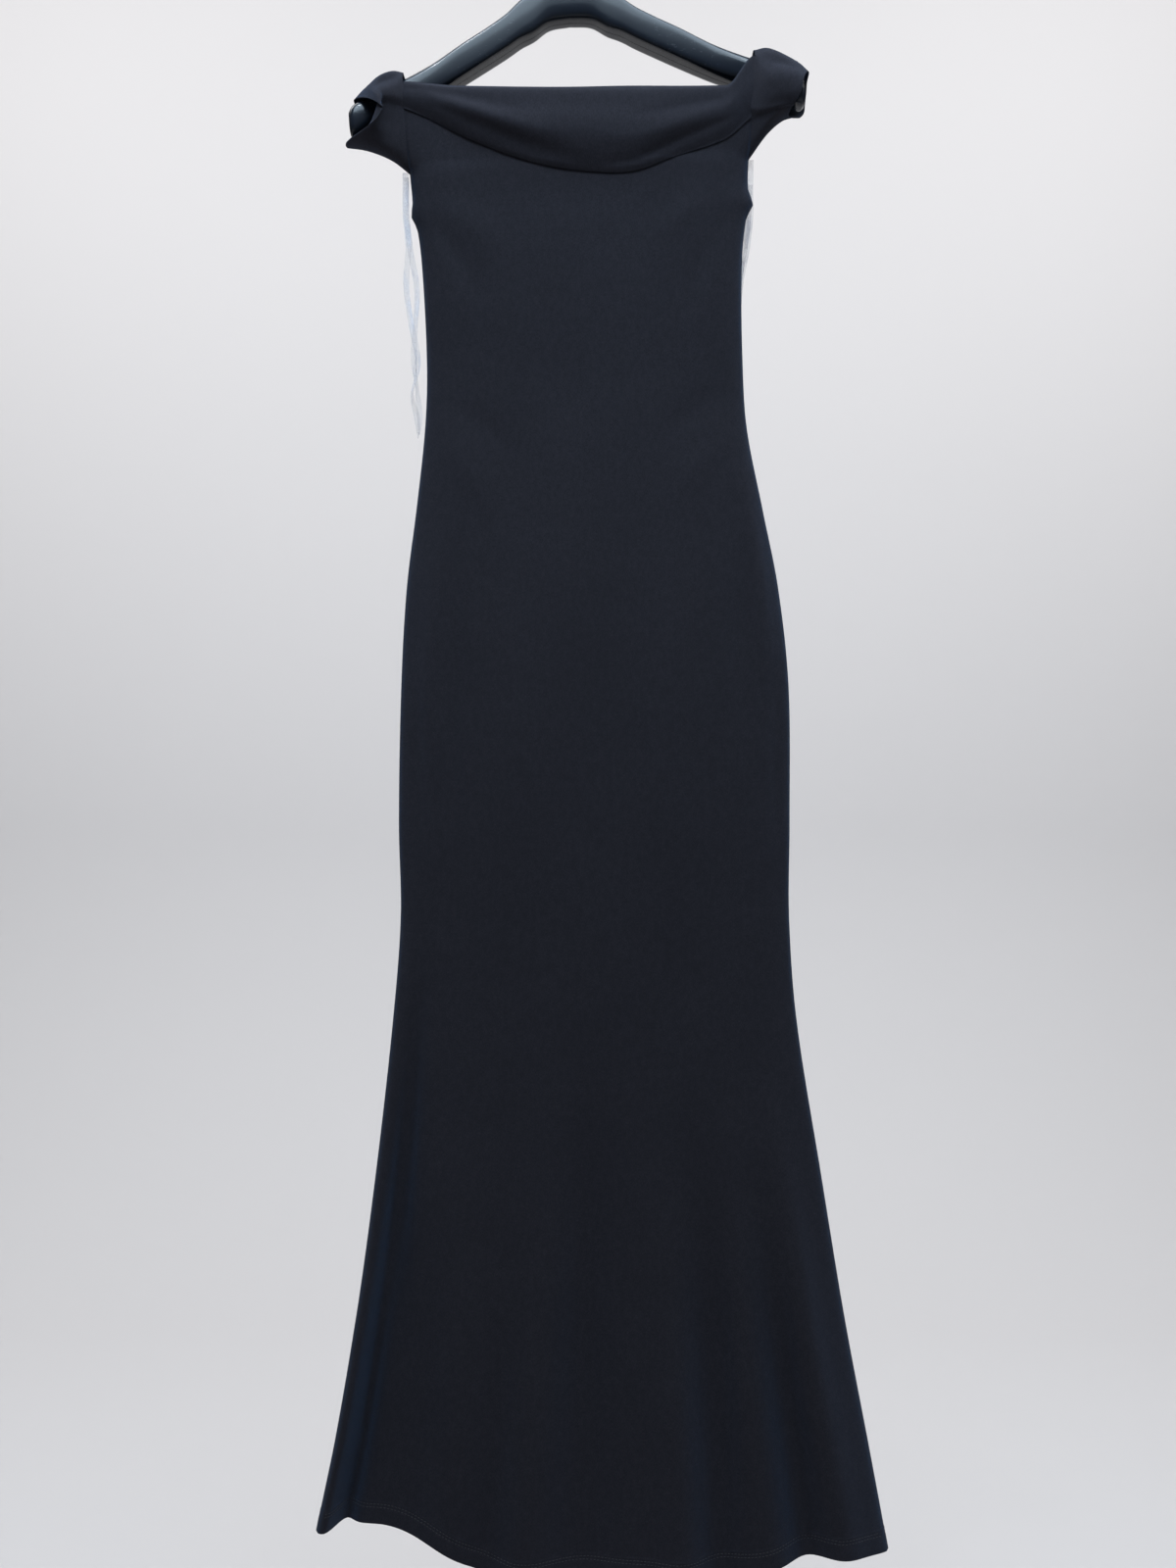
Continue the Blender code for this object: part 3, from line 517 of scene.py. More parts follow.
def flute_depth(flutes, share, width, drop):
    """How far the flutes of one panel stand out."""
    total = 0.0
    for flute in flutes:
        full_drop = flute.start_drop + (HEM_DROP - flute.start_drop) / FLUTE_GROWTH
        way = ease(drop, flute.start_drop, HEM_DROP)
        place = flute.start_place + (flute.hem_place - flute.start_place) * way
        offset = (share - place) * width / flute.width
        total = total + flute.depth * ease(drop, flute.start_drop, full_drop) * np.exp(-offset ** 2)
    return total


def neckline_height(x, left, right, side):
    """Height of a panel's top edge: level in the middle, rising to the shoulders."""
    middle = NECK_DROP if side < 0 else BACK_NECK_DROP
    extra = middle - NECK_DROP
    rise_left = (NECK_RISE_LEFT + extra) * (1.0 - ease(x, left, left + NECK_RISE_WIDTH_LEFT))
    rise_right = (NECK_RISE_RIGHT + extra) * ease(x, right - NECK_RISE_WIDTH_RIGHT, right)
    return -middle + rise_left + rise_right


def panel_points(side, place, drop, armhole=1.0):
    """Outer points of a panel: side is -1 for the front, place goes from -1 to 1 across it, and
    armhole from 0 at the neckline to 1 at the underarm and below it."""
    place, drop, armhole = np.broadcast_arrays(place, drop, armhole)
    level = level_at(drop)
    middle = (level.left + level.right) / 2.0
    half = (level.right - level.left) / 2.0
    x = middle + half * place
    fullness = level.front if side < 0 else level.back
    shape = np.maximum(0.0, 1.0 - np.abs(place) ** SECTION_POWER) ** (1.0 / SECTION_POWER)
    openness = np.sqrt(np.maximum(0.0, 1.0 - armhole ** 2))
    shape = shape + (1.0 - place ** 2 - shape) * openness
    open_depth = ARMHOLE_HALF_DEPTH * openness
    depth = open_depth + (fullness - open_depth) * shape
    flutes = FRONT_FLUTES if side < 0 else BACK_FLUTES
    flute = flute_depth(flutes, (place + 1.0) / 2.0, 2.0 * half, drop)
    depth = depth + flute * np.minimum(1.0, FLUTE_EDGE_FADE * shape)
    past_edge = np.maximum(x - level.left - TAIL_EDGE, 0.0)
    tail = TAIL_FORWARD * ease(drop, TAIL_START_DROP, HEM_DROP) * np.exp(-(past_edge / TAIL_WIDTH) ** 2)
    y = side * (depth + SEAM_GAP / 2.0) - level.forward * place ** 2 - tail
    top = neckline_height(x, level.left, level.right, side)
    under = -UNDERARM_DROP + UNDERARM_SLOPE * (x - middle)
    slope = UNDERARM_SLOPE * (1.0 - ease(drop, UNDERARM_DROP, SLOPE_GONE_DROP))
    lift = np.where(place < 0.0, HEM_RISE_LEFT, HEM_RISE_RIGHT)
    lift = lift * ease(np.abs(place), HEM_RISE_FROM, HEM_RISE_TO) * ease(drop, HEM_CURVE_DROP, HEM_DROP)
    below = -drop + slope * (x - middle) + lift
    z = np.where(armhole < 1.0, top + (under - top) * armhole, below)
    return np.stack((x, y, z), axis=-1)


def crowded(share):
    """Places across a panel from -1 to 1, closer together near the side seams."""
    return EDGE_CROWDING * -np.cos(np.pi * share) + (1.0 - EDGE_CROWDING) * (2.0 * share - 1.0)


def crease_height(creases, x, drop):
    """Height of the creases at points of a panel."""
    total = np.zeros_like(x)
    for crease in creases:
        run = np.array((crease.foot_x - crease.x, crease.foot_drop - crease.drop))
        length = np.linalg.norm(run)
        run /= length
        along = ((x - crease.x) * run[0] + (drop - crease.drop) * run[1]) / length
        beside = (x - crease.x) * run[1] - (drop - crease.drop) * run[0]
        held = np.clip(along, 0.0, 1.0)
        beside = beside - crease.bow * 4.0 * held * (1.0 - held)
        taper = np.sin(np.pi * held) ** 1.5
        total += crease.height * taper * np.exp(-(beside / crease.width) ** 2)
    return total


def grid_normals(points, wrap=False):
    """Normals of a grid of points."""
    if wrap:
        across = np.roll(points, -1, axis=1) - np.roll(points, 1, axis=1)
    else:
        across = np.gradient(points, axis=1)
    down = np.gradient(points, axis=0)
    normals = np.cross(across, down)
    return normals / np.maximum(np.linalg.norm(normals, axis=-1, keepdims=True), 1e-12)


def deselect():
    """Nothing is selected and no object is being edited."""
    if bpy.context.object is not None and bpy.context.object.mode != "OBJECT":
        bpy.ops.object.mode_set(mode="OBJECT")
    bpy.ops.object.select_all(action="DESELECT")


def cloth_grid(name, points, wrap=False, material=None):
    """A fine grid primitive laid on a grid of points, with a map of its way across and down."""
    rows, columns = points.shape[0], points.shape[1]
    deselect()
    bpy.ops.mesh.primitive_grid_add(x_subdivisions=columns - 1, y_subdivisions=rows - 1, size=1.0)
    piece = bpy.context.object
    piece.name = piece.data.name = name
    mesh = piece.data
    flat = np.empty(len(mesh.vertices) * 3)
    mesh.vertices.foreach_get("co", flat)
    flat = flat.reshape(-1, 3)
    column = np.rint((flat[:, 0] + 0.5) * (columns - 1)).astype(int)
    row = np.rint((0.5 - flat[:, 1]) * (rows - 1)).astype(int)
    mesh.vertices.foreach_set("co", points[row, column].ravel())
    lengths = np.linalg.norm(np.diff(points, axis=1), axis=-1)
    across = np.concatenate((np.zeros((rows, 1)), np.cumsum(lengths, axis=1)), axis=1)
    across -= across[:, columns // 2][:, None]
    heights = np.linalg.norm(np.diff(points, axis=0), axis=-1).mean(axis=1)
    down = np.concatenate(((0.0,), np.cumsum(heights)))
    corners = np.empty(len(mesh.loops), int)
    mesh.loops.foreach_get("vertex_index", corners)
    place = np.stack((across[row, column][corners], -down[row][corners]), axis=-1)
    cloth_map = mesh.uv_layers.active or mesh.uv_layers.new(name="cloth")
    cloth_map.name = "cloth"
    mesh.uv_layers["cloth"].data.foreach_set("uv", place.ravel())
    mesh.update()
    if wrap:
        weld(piece)
    if material is not None:
        mesh.materials.append(material)
    return piece


def weld(piece, distance=1e-5):
    """The piece's doubled points are merged."""
    bpy.ops.object.mode_set(mode="EDIT")
    bpy.ops.mesh.select_all(action="SELECT")
    bpy.ops.mesh.remove_doubles(threshold=distance)
    bpy.ops.object.mode_set(mode="OBJECT")


def turn_outwards(piece, outward):
    """The faces are flipped where the sum of their normals along the given directions is negative."""
    mesh = piece.data
    normals = np.empty(len(mesh.polygons) * 3)
    centres = np.empty(len(mesh.polygons) * 3)
    mesh.polygons.foreach_get("normal", normals)
    mesh.polygons.foreach_get("center", centres)
    if np.sum(normals.reshape(-1, 3) * outward(centres.reshape(-1, 3))) < 0.0:
        bpy.ops.object.mode_set(mode="EDIT")
        bpy.ops.mesh.select_all(action="SELECT")
        bpy.ops.mesh.flip_normals()
        bpy.ops.object.mode_set(mode="OBJECT")


def add_wall(piece, thickness, offset=-1.0):
    """The sheet gets its thickness: inwards from its outer side, or to both sides at offset 0."""
    wall = piece.modifiers.new("wall", "SOLIDIFY")
    wall.thickness = thickness
    wall.offset = offset
    bpy.ops.object.modifier_apply(modifier=wall.name)


def finish_piece(piece, node):
    """Smooth shading and body; the solid that the piece stands for is hidden."""
    deselect()
    piece.select_set(True)
    bpy.context.view_layer.objects.active = piece
    bpy.ops.object.shade_smooth_by_angle(angle=SMOOTH_ANGLE)
    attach(piece, "root")
    if node is not None:
        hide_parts(node)


class Term:
    """A socket of a material, which can be used in sums."""

    def __init__(self, shade, node, socket):
        self.shade = shade
        self.node = node
        self.socket = socket

    def out(self, name):
        """Another result of the same node."""
        return Term(self.shade, self.node, self.node.outputs[name])

    def sum(self, operation, *values):
        """A Math node on the values."""
        return self.shade.node("ShaderNodeMath", {"operation": operation}, dict(enumerate(values)))

    def __add__(self, other):
        return self.sum("ADD", self, other)

    __radd__ = __add__

    def __sub__(self, other):
        return self.sum("SUBTRACT", self, other)

    def __rsub__(self, other):
        return self.sum("SUBTRACT", other, self)

    def __mul__(self, other):
        return self.sum("MULTIPLY", self, other)

    __rmul__ = __mul__

    def __truediv__(self, other):
        return self.sum("DIVIDE", self, other)

    def sine(self):
        return self.sum("SINE", self)

    def part(self):
        """What is left of the value past its last whole number."""
        return self.sum("FRACT", self)

    def size(self):
        """The value without its sign."""
        return self.sum("ABSOLUTE", self)

    def between(self, low, high):
        """0 below low, 1 above high and smooth between them."""
        settings = {"interpolation_type": "SMOOTHSTEP"}
        sockets = {"Value": self, "From Min": low, "From Max": high}
        return self.shade.node("ShaderNodeMapRange", settings, sockets)


class Shade:
    """A material in the making, with one Principled shader."""

    def __init__(self, name, **constants):
        self.material = bpy.data.materials.new(name)
        self.material.use_nodes = True
        self.tree = self.material.node_tree
        self.shader = self.tree.nodes["Principled BSDF"]
        for socket, value in constants.items():
            self.shader.inputs[socket.replace("_", " ")].default_value = value

    def node(self, kind, settings=None, sockets=None):
        """A node of a kind, with its settings made first and then its sockets set or linked."""
        node = self.tree.nodes.new(kind)
        for name, value in (settings or {}).items():
            setattr(node, name, value)
        for name, value in (sockets or {}).items():
            self.join(value, node.inputs[name])
        shown = [socket for socket in node.outputs if socket.enabled]
        return Term(self, node, shown[0])

    def join(self, value, socket):
        """A link to the socket, or its own value."""
        if isinstance(value, Term):
            self.tree.links.new(value.socket, socket)
        else:
            socket.default_value = value

    def set(self, name, value):
        """Feeds an input of the Principled shader."""
        self.join(value, self.shader.inputs[name])

    def mix(self, first, second, share):
        """Colours mixed by a share."""
        colours = [value if isinstance(value, Term) else (*value, 1.0) for value in (first, second)]
        return self.node("ShaderNodeMix", {"data_type": "RGBA"}, {0: share, 6: colours[0], 7: colours[1]})

    def noise(self, place, scale, detail=2.0, roughness=0.5):
        """Cloudy values from 0 to 1."""
        sockets = {"Vector": place, "Scale": scale, "Detail": detail, "Roughness": roughness}
        return self.node("ShaderNodeTexNoise", {}, sockets)

    def stretched(self, place, scale):
        """Coordinates stretched along their axes."""
        return self.node("ShaderNodeVectorMath", {"operation": "MULTIPLY"}, {0: place, 1: scale})

    def bump(self, height, distance, strength=1.0):
        """A Bump node on a height, which feeds the shader's Normal."""
        sockets = {"Height": height, "Distance": distance, "Strength": strength}
        self.set("Normal", self.node("ShaderNodeBump", {}, sockets))


def knit_material(settings):
    """Dense jersey: columns of small stitches, soft mottling and a blue-black sheen."""
    shade = Shade("blue_black_jersey", Sheen_Weight=0.10, Sheen_Roughness=0.36,
                  Sheen_Tint=(0.24, 0.52, 1.0, 1.0), Specular_IOR_Level=0.04)
    cloth = shade.node("ShaderNodeUVMap", {"uv_map": "cloth"})
    split = shade.node("ShaderNodeSeparateXYZ", {}, {0: cloth})
    place = shade.node("ShaderNodeTexCoord").out("Object")
    beside = ((split / settings.wale_width).part() - 0.5).size()
    course = (split.out("Y") / settings.course_height + beside * 1.4).part()
    leg = (beside * 2.0 * math.pi).sine()
    stitch = leg * (0.55 + 0.45 * (course * math.pi).sine())
    fibre = shade.noise(shade.stretched(cloth, (1.0, 0.35, 1.0)), 1500.0, 3.0)
    mottle = shade.noise(shade.stretched(place, (1.0, 1.0, 0.55)), 260.0, 3.0, 0.65)
    cloud = shade.noise(place, 14.0, 2.0)
    fleck = mottle.between(0.30, 0.80) * 0.30 + fibre.between(0.35, 0.75) * 0.45 + stitch * 0.25
    tone = fleck * (0.75 + 0.5 * cloud)
    shade.set("Base Color", shade.mix(settings.colour, settings.light_colour, tone))
    shade.set("Roughness", 0.74 + 0.16 * mottle)
    shade.bump(stitch + fibre * 0.5, 0.00028, 0.75)
    return shade.material


def thread_material(settings):
    """Sewing thread in the colour of the cloth, a little glossier."""
    shade = Shade("sewing_thread", Sheen_Weight=0.2)
    place = shade.node("ShaderNodeTexCoord").out("Object")
    twist = shade.noise(shade.stretched(place, (1.0, 1.0, 2.0)), 1800.0, 1.0)
    shade.set("Base Color", shade.mix(settings.colour, settings.light_colour, 0.35 + 0.5 * twist))
    shade.set("Roughness", 0.45 + 0.2 * twist)
    shade.bump(twist, 0.0001, 0.6)
    return shade.material


def plastic_material(settings):
    """Glossy black moulded plastic with faint handling marks."""
    shade = Shade("moulded_plastic", Coat_Roughness=0.06, Specular_IOR_Level=0.22)
    place = shade.node("ShaderNodeTexCoord").out("Object")
    smear = shade.noise(place, 22.0, 3.0)
    scratch = shade.noise(shade.stretched(place, (0.16, 1.0, 1.0)), 900.0, 2.0)
    mark = scratch.between(0.60, 0.72) * smear.between(0.45, 0.65)
    light = tuple(channel * 1.8 + 0.004 for channel in settings.plastic)
    shade.set("Base Color", shade.mix(settings.plastic, light, mark * 0.6 + smear * 0.3))
    shade.set("Roughness", 0.15 + 0.08 * smear + 0.16 * mark)
    shade.set("Coat Weight", 0.16 - 0.12 * mark)
    shade.bump(smear * 0.7 + scratch * 0.05, 0.0006, 0.25)
    return shade.material


def metal_material(settings):
    """Polished wire with fine drawing lines."""
    shade = Shade("polished_wire", Metallic=1.0)
    place = shade.node("ShaderNodeTexCoord").out("Object")
    line = shade.noise(shade.stretched(place, (1.0, 1.0, 0.1)), 1600.0, 2.0)
    dull = shade.noise(place, 120.0, 2.0)
    dark = tuple(channel * 0.72 for channel in settings.metal)
    shade.set("Base Color", shade.mix(settings.metal, dark, dull * 0.6))
    shade.set("Roughness", 0.16 + 0.12 * dull + 0.06 * line)
    shade.bump(line, 0.00005, 0.5)
    return shade.material


def tape_material(settings):
    """Clear stretch tape: see-through, with a soft gloss and cloudy creases."""
    shade = Shade("stretch_tape", IOR=1.45, Specular_IOR_Level=0.5)
    place = shade.node("ShaderNodeTexCoord").out("Object")
    cloud = shade.noise(shade.stretched(place, (1.0, 1.0, 0.4)), 80.0, 2.0)
    crease = cloud.between(0.42, 0.70)
    pale = tuple(min(channel * 1.5, 0.95) for channel in settings.tape)
    shade.set("Base Color", shade.mix(settings.tape, pale, crease))
    shade.set("Roughness", 0.16 + 0.16 * crease)
    shade.set("Alpha", 0.13 + 0.24 * crease)
    shade.bump(cloud, 0.0008, 0.6)
    return shade.material


def backdrop_material(settings):
    """Matt pale paint with the faintest mottling."""
    shade = Shade("pale_backdrop", Specular_IOR_Level=0.2)
    place = shade.node("ShaderNodeTexCoord").out("Object")
    cloud = shade.noise(place, 1.2, 2.0)
    darker = tuple(channel * 0.985 for channel in settings.backdrop)
    shade.set("Base Color", shade.mix(settings.backdrop, darker, cloud))
    shade.set("Roughness", 0.86 + 0.06 * cloud)
    return shade.material


made_materials = {}


def shared_material(make, settings):
    """The material that a function makes, made the first time it is asked for."""
    if make not in made_materials:
        made_materials[make] = make(settings)
    return made_materials[make]


def panel_rows(rows):
    """Drops and armhole shares of a fine panel's rows: closer together in the turned-up hem."""
    hem_rows = 24
    arm_rows = 18
    body = np.linspace(UNDERARM_DROP, HEM_DROP - HEM_TURN - 0.002, rows - hem_rows - arm_rows + 1)
    hem = np.linspace(HEM_DROP - HEM_TURN - 0.002, HEM_DROP, hem_rows + 1)
    shares = np.linspace(0.0, 1.0, arm_rows, endpoint=False)
    above = NECK_DROP + (UNDERARM_DROP - NECK_DROP) * shares
    drops = np.concatenate((above, body, hem[1:]))
    armhole = np.concatenate((shares, np.ones(len(body) + hem_rows)))
    return drops[:, None], armhole[:, None]


def panel_surface(side, settings):
    """Fine outer points of a panel, with its creases and its turned-up hem."""
    drops, armhole = panel_rows(settings.rows)
    place = crowded(np.linspace(0.0, 1.0, settings.columns + 1))[None, :]
    points = panel_points(side, place, drops, armhole)
    creases = FRONT_CREASES if side < 0 else BACK_CREASES
    height = crease_height(creases, points[..., 0], np.broadcast_to(drops, points.shape[:2]))
    height = height * settings.crease_share * ease(1.0 - np.abs(place), 0.0, 0.10)
    to_edge = HEM_DROP - drops
    turned = 1.0 - ease(to_edge, HEM_TURN - TURN_SOFTNESS, HEM_TURN)
    grooves = sum(np.exp(-((to_edge - row) / GROOVE_WIDTH) ** 2) for row in STITCH_ROWS)
    height = height + HEM_PROUD * turned - GROOVE_DEPTH * grooves
    normals = grid_normals(points)
    normals *= np.sign(np.sum(normals[..., 1]) * side)
    return points + normals * height[..., None]


def build_panel(name, side, node, settings):
    """Front or back of the dress, which hangs from both sleeves."""
    material = shared_material(knit_material, settings)
    piece = cloth_grid(name, panel_surface(side, settings), material=material)
    turn_outwards(piece, lambda centres: np.array((0.0, side, 0.0)))
    add_wall(piece, settings.thickness)
    finish_piece(piece, node)


def point_below_neck(side, place, way):
    """Outer points of a panel at distances below the neckline."""
    share = way / (UNDERARM_DROP - NECK_DROP)
    return panel_points(side, place, NECK_DROP + way, np.minimum(share, 1.0))


def band_surface(side, band, swags, settings):
    """Fine outer points of the folded-over neckline."""
    band_rows = 56
    share = np.linspace(0.0, 1.0, settings.columns + 1)
    place = crowded(share)
    share = (place + 1.0) / 2.0
    keys = [entry.place for entry in band]
    hang = smooth_curve(keys, [entry.depth for entry in band], share)[None, :]
    fullness = smooth_curve(keys, [entry.fullness for entry in band], share)[None, :]
    way = np.linspace(0.0, 1.0, band_rows + 1)
    ways = [section.way for section in BAND_SECTION]
    down = smooth_curve(ways, [section.down for section in BAND_SECTION], way)[:, None]
    off = smooth_curve(ways, [section.off for section in BAND_SECTION], way)[:, None]
    points = point_below_neck(side, place[None, :], np.maximum(down, 0.0) * hang)
    stand = np.where(down > 0.0, np.maximum(off * fullness, BAND_LEAST_OFF), off * fullness)
    bow = np.sin(np.pi * share) ** BAND_BOW_POWER
    hump = BAND_HUMP_RISE * np.exp(-((points[0, :, 0] - BAND_HUMP_X) / BAND_HUMP_WIDTH) ** 2)
    crest = BAND_EDGE_RISE + (BAND_ROLL_RISE - BAND_EDGE_RISE) * bow + hump
    rise = ease(0.12 - way, 0.0, 0.08) * ease(way, 0.0, 0.06)
    points[..., 1] += side * stand
    points[..., 2] += SEAM_GAP + rise[:, None] * crest[None, :]
    height = np.zeros(points.shape[:2])
    for swag in swags:
        along = (share - swag.place) / (swag.end_place - swag.place)
        held = np.clip(along, 0.0, 1.0)
        course = swag.down + (swag.end_down - swag.down) * np.sin(held * math.pi / 2.0)
        beside = (down - course[None, :]) * hang
        outside = ease(way, 0.12, 0.20)[:, None] * (1.0 - ease(way, 0.86, 0.92)[:, None])
        height += swag.height * np.sin(np.pi * held) ** 0.8 * np.exp(-(beside / swag.width) ** 2) * outside
    normals = grid_normals(points)
    middle = normals[band_rows // 2]
    normals *= np.sign(np.sum(middle[:, 1]) * side)
    return points + normals * height[..., None] * settings.crease_share


def build_band(name, side, node, band, swags, settings):
    """Folded-over neckline of the front or the back."""
    material = shared_material(knit_material, settings)
    points = band_surface(side, band, swags, settings)
    piece = cloth_grid(name, points, material=material)
    middle = points[..., 2].mean()
    turn_outwards(piece, lambda centres: (centres[:, 2:3] < middle) * np.array((0.0, side, 0.0)))
    add_wall(piece, settings.thickness * 0.8)
    finish_piece(piece, node)


def armhole_ring(hand, arch, angles):
    """First ring of a sleeve, along the armhole and over the hanger's arm."""
    below = np.maximum(np.cos(angles), 0.0)
    drop = NECK_DROP + (UNDERARM_DROP - NECK_DROP) * below
    front = panel_points(-1, float(hand), drop, below)
    back = panel_points(1, float(hand), drop, below)
    ring = np.where(np.sin(angles)[:, None] >= 0.0, front, back)
    over = np.cos(angles) < 0.0
    ring[over, 1] = -ARMHOLE_FORWARD - ARMHOLE_HALF_DEPTH * np.sin(angles[over])
    ring[over, 2] -= arch * np.cos(angles[over])
    ring[:, 0] += hand * SEWN_GAP
    return ring


def fold_height(fold, degrees, way):
    """How far the fold stands out round a sleeve: degrees across, way down the rows."""
    front = (fold.front + (fold.front_cuff - fold.front) * way)[:, None]
    back = (fold.back + (fold.back_cuff - fold.back) * way)[:, None]
    above = ease(degrees, front, front + FOLD_LIP) * (1.0 - ease(degrees, back - FOLD_LIP, back))
    low = ease(degrees, *FOLD_TOP_FRONT) * (1.0 - ease(degrees, *FOLD_TOP_BACK))
    top = 1.0 - (1.0 - FOLD_TOP_SHARE) * low
    return fold.height * above * top * (1.0 - FOLD_CUFF_LOSS * way)[:, None]


def sleeve_surface(hand, table, arch, fold, creases, settings):
    """Fine outer points of a short sleeve."""
    around = 168
    lengthwise = 44
    angles = np.linspace(0.0, 2.0 * math.pi, around + 1)
    rings = [armhole_ring(hand, arch, angles)]
    edge = rings[0][0, 0]
    cosine, sine = np.cos(angles), np.sin(angles)
    for row in table:
        limit = np.where(cosine > 0.0, row.bottom, row.top)
        scoop = row.scoop * np.maximum(sine, 0.0) ** 2 + row.tuck * np.maximum(cosine, 0.0) ** 2
        x = edge + hand * (row.reach - scoop)
        y = row.centre - row.depth * sine
        z = row.wide + (limit - row.wide) * np.abs(cosine)
        rings.append(np.stack((x, y, z), axis=-1))
    keys = [0.0] + [row.reach for row in table]
    way = np.linspace(0.0, 1.0, lengthwise + 1)
    points = smooth_curve(keys, np.array(rings), way * keys[-1])
    height = fold_height(fold, np.degrees(angles)[None, :], way)
    for crease in creases:
        held = np.clip((way - crease.start) / (crease.end - crease.start), 0.0, 1.0)
        course = crease.angle + crease.turn * held
        beside = (np.degrees(angles)[None, :] - course[:, None] + 180.0) % 360.0 - 180.0
        height += crease.height * np.sin(np.pi * held)[:, None] * np.exp(-(beside / crease.spread) ** 2)
    to_edge = (1.0 - way) * keys[-1]
    turned = 1.0 - ease(to_edge, CUFF_TURN - TURN_SOFTNESS, CUFF_TURN)
    groove = np.exp(-((to_edge - CUFF_TURN + CUFF_ROW_IN) / GROOVE_WIDTH) ** 2)
    height = height * settings.crease_share + (HEM_PROUD * turned - GROOVE_DEPTH * groove)[:, None]
    normals = grid_normals(points[:, :-1], wrap=True)
    normals = np.concatenate((normals, normals[:, :1]), axis=1)
    centre = points[:, :-1].mean(axis=1, keepdims=True)
    normals *= np.sign(np.sum(normals * (points - centre)))
    return points + normals * height[..., None]


def build_sleeve(name, hand, node, table, arch, fold, creases, settings):
    """A short sleeve that hangs over the end of the hanger."""
    material = shared_material(knit_material, settings)
    points = sleeve_surface(hand, table, arch, fold, creases, settings)
    piece = cloth_grid(name, points, wrap=True, material=material)
    axis = points[:, :-1].mean(axis=(0, 1))
    flatten = np.array((0.0, 1.0, 1.0))
    turn_outwards(piece, lambda centres: (centres - axis) * flatten)
    add_wall(piece, settings.thickness * 0.8)
    finish_piece(piece, node)


def route_through(way, steps):
    """Fine points along a route."""
    keys = np.arange(len(way), dtype=float)
    return smooth_curve(keys, np.array(way), np.linspace(0.0, len(way) - 1.0, steps * (len(way) - 1) + 1))


def ribbon_surface(way, width, twist):
    """A flat tape along a route, with slow twists that leave both of its ends straight."""
    centres = route_through(way, 12)
    along = np.gradient(centres, axis=0)
    along /= np.linalg.norm(along, axis=1, keepdims=True)
    across = np.array((1.0, 0.0, 0.0)) - along * along[:, :1]
    across /= np.linalg.norm(across, axis=1, keepdims=True)
    through = np.cross(along, across)
    share = np.linspace(0.0, 1.0, len(centres))
    turn = twist * np.sin(np.pi * share) ** 2 * np.sin(share * math.pi * 7.0)
    turned = across * np.cos(turn)[:, None] + through * np.sin(turn)[:, None]
    offsets = np.linspace(-0.5, 0.5, 7)
    cup = 0.25 * width * (offsets ** 2 - 0.08)
    lift = np.cross(along, turned)
    return (centres[:, None] + turned[:, None] * (offsets * width)[None, :, None]
            + lift[:, None] * cup[None, :, None])


def build_loop(name, node, way, twist, settings):
    """A clear hanger loop."""
    material = shared_material(tape_material, settings)
    piece = cloth_grid(name, ribbon_surface(way, LOOP_WIDTH, twist), material=material)
    add_wall(piece, LOOP_THICKNESS, 0.0)
    finish_piece(piece, node)


def tilt_matrix():
    """The hanger's tilt about the middle of its hook's bow."""
    middle = Vector((0.0, 0.0, -HOOK_INNER_RADIUS))
    turn = Matrix.Rotation(-HANGER_TILT, 4, "Y")
    return Matrix.Translation(middle) @ turn @ Matrix.Translation(-middle)


def arm_columns(reach):
    """Height, tallness, depth and squareness of the arms at places along them."""
    keys = [section.reach for section in ARM_SECTIONS]
    return [smooth_curve(keys, [section[c] for section in ARM_SECTIONS], np.abs(reach))[:, None]
            for c in (1, 2, 3, 4)]


def tilted_arm(reach, y, z):
    """Points at places along the arms, curved forward and tilted as the hanger hangs."""
    y = y - HANGER_FORWARD * (reach[:, None] / HANGER_HALF_LENGTH) ** 2
    x = np.broadcast_to(reach[:, None], y.shape)
    points = np.stack((x, y, z, np.ones_like(x)), axis=-1)
    return points @ np.array(tilt_matrix()).T[:, :3]


def hanger_surface():
    """Fine points round the arms of the hanger, from one end to the other."""
    around = 56
    along = 200
    share = np.linspace(-1.0, 1.0, along + 1)
    widest = math.sin(math.pi / 2.0 * ARM_CROWDING)
    reach = HANGER_HALF_LENGTH * np.sin(share * math.pi / 2.0 * ARM_CROWDING) / widest
    height, tall, deep, square = arm_columns(reach)
    angles = (2.0 * math.pi * np.linspace(0.0, 1.0, around + 1))[None, :]
    cosine, sine = np.cos(angles), np.sin(angles)
    power = 2.0 / square
    y = np.sign(cosine) * np.abs(cosine) ** power * deep / 2.0
    z = np.sign(sine) * np.abs(sine) ** power * tall / 2.0 + height
    return tilted_arm(reach, y, z)


def build_parting(name, up, settings):
    """The fine ridge that the two halves of the mould leave along the arms."""
    reach = np.linspace(-PARTING_END, PARTING_END, 160) * HANGER_HALF_LENGTH
    height, tall = arm_columns(reach)[:2]
    angles = np.linspace(0.0, math.pi, 6)[None, :]
    ridge = PARTING_RADIUS * (PARTING_PROUD * np.sin(angles) - PARTING_SUNK)
    z = height + up * tall / 2.0 + up * ridge
    y = np.broadcast_to(PARTING_RADIUS * np.cos(angles), z.shape)
    material = shared_material(plastic_material, settings)
    piece = cloth_grid(name, tilted_arm(reach, y, z), material=material)
    turn_outwards(piece, lambda centres: np.array((0.0, 0.0, up)))
    finish_piece(piece, None)


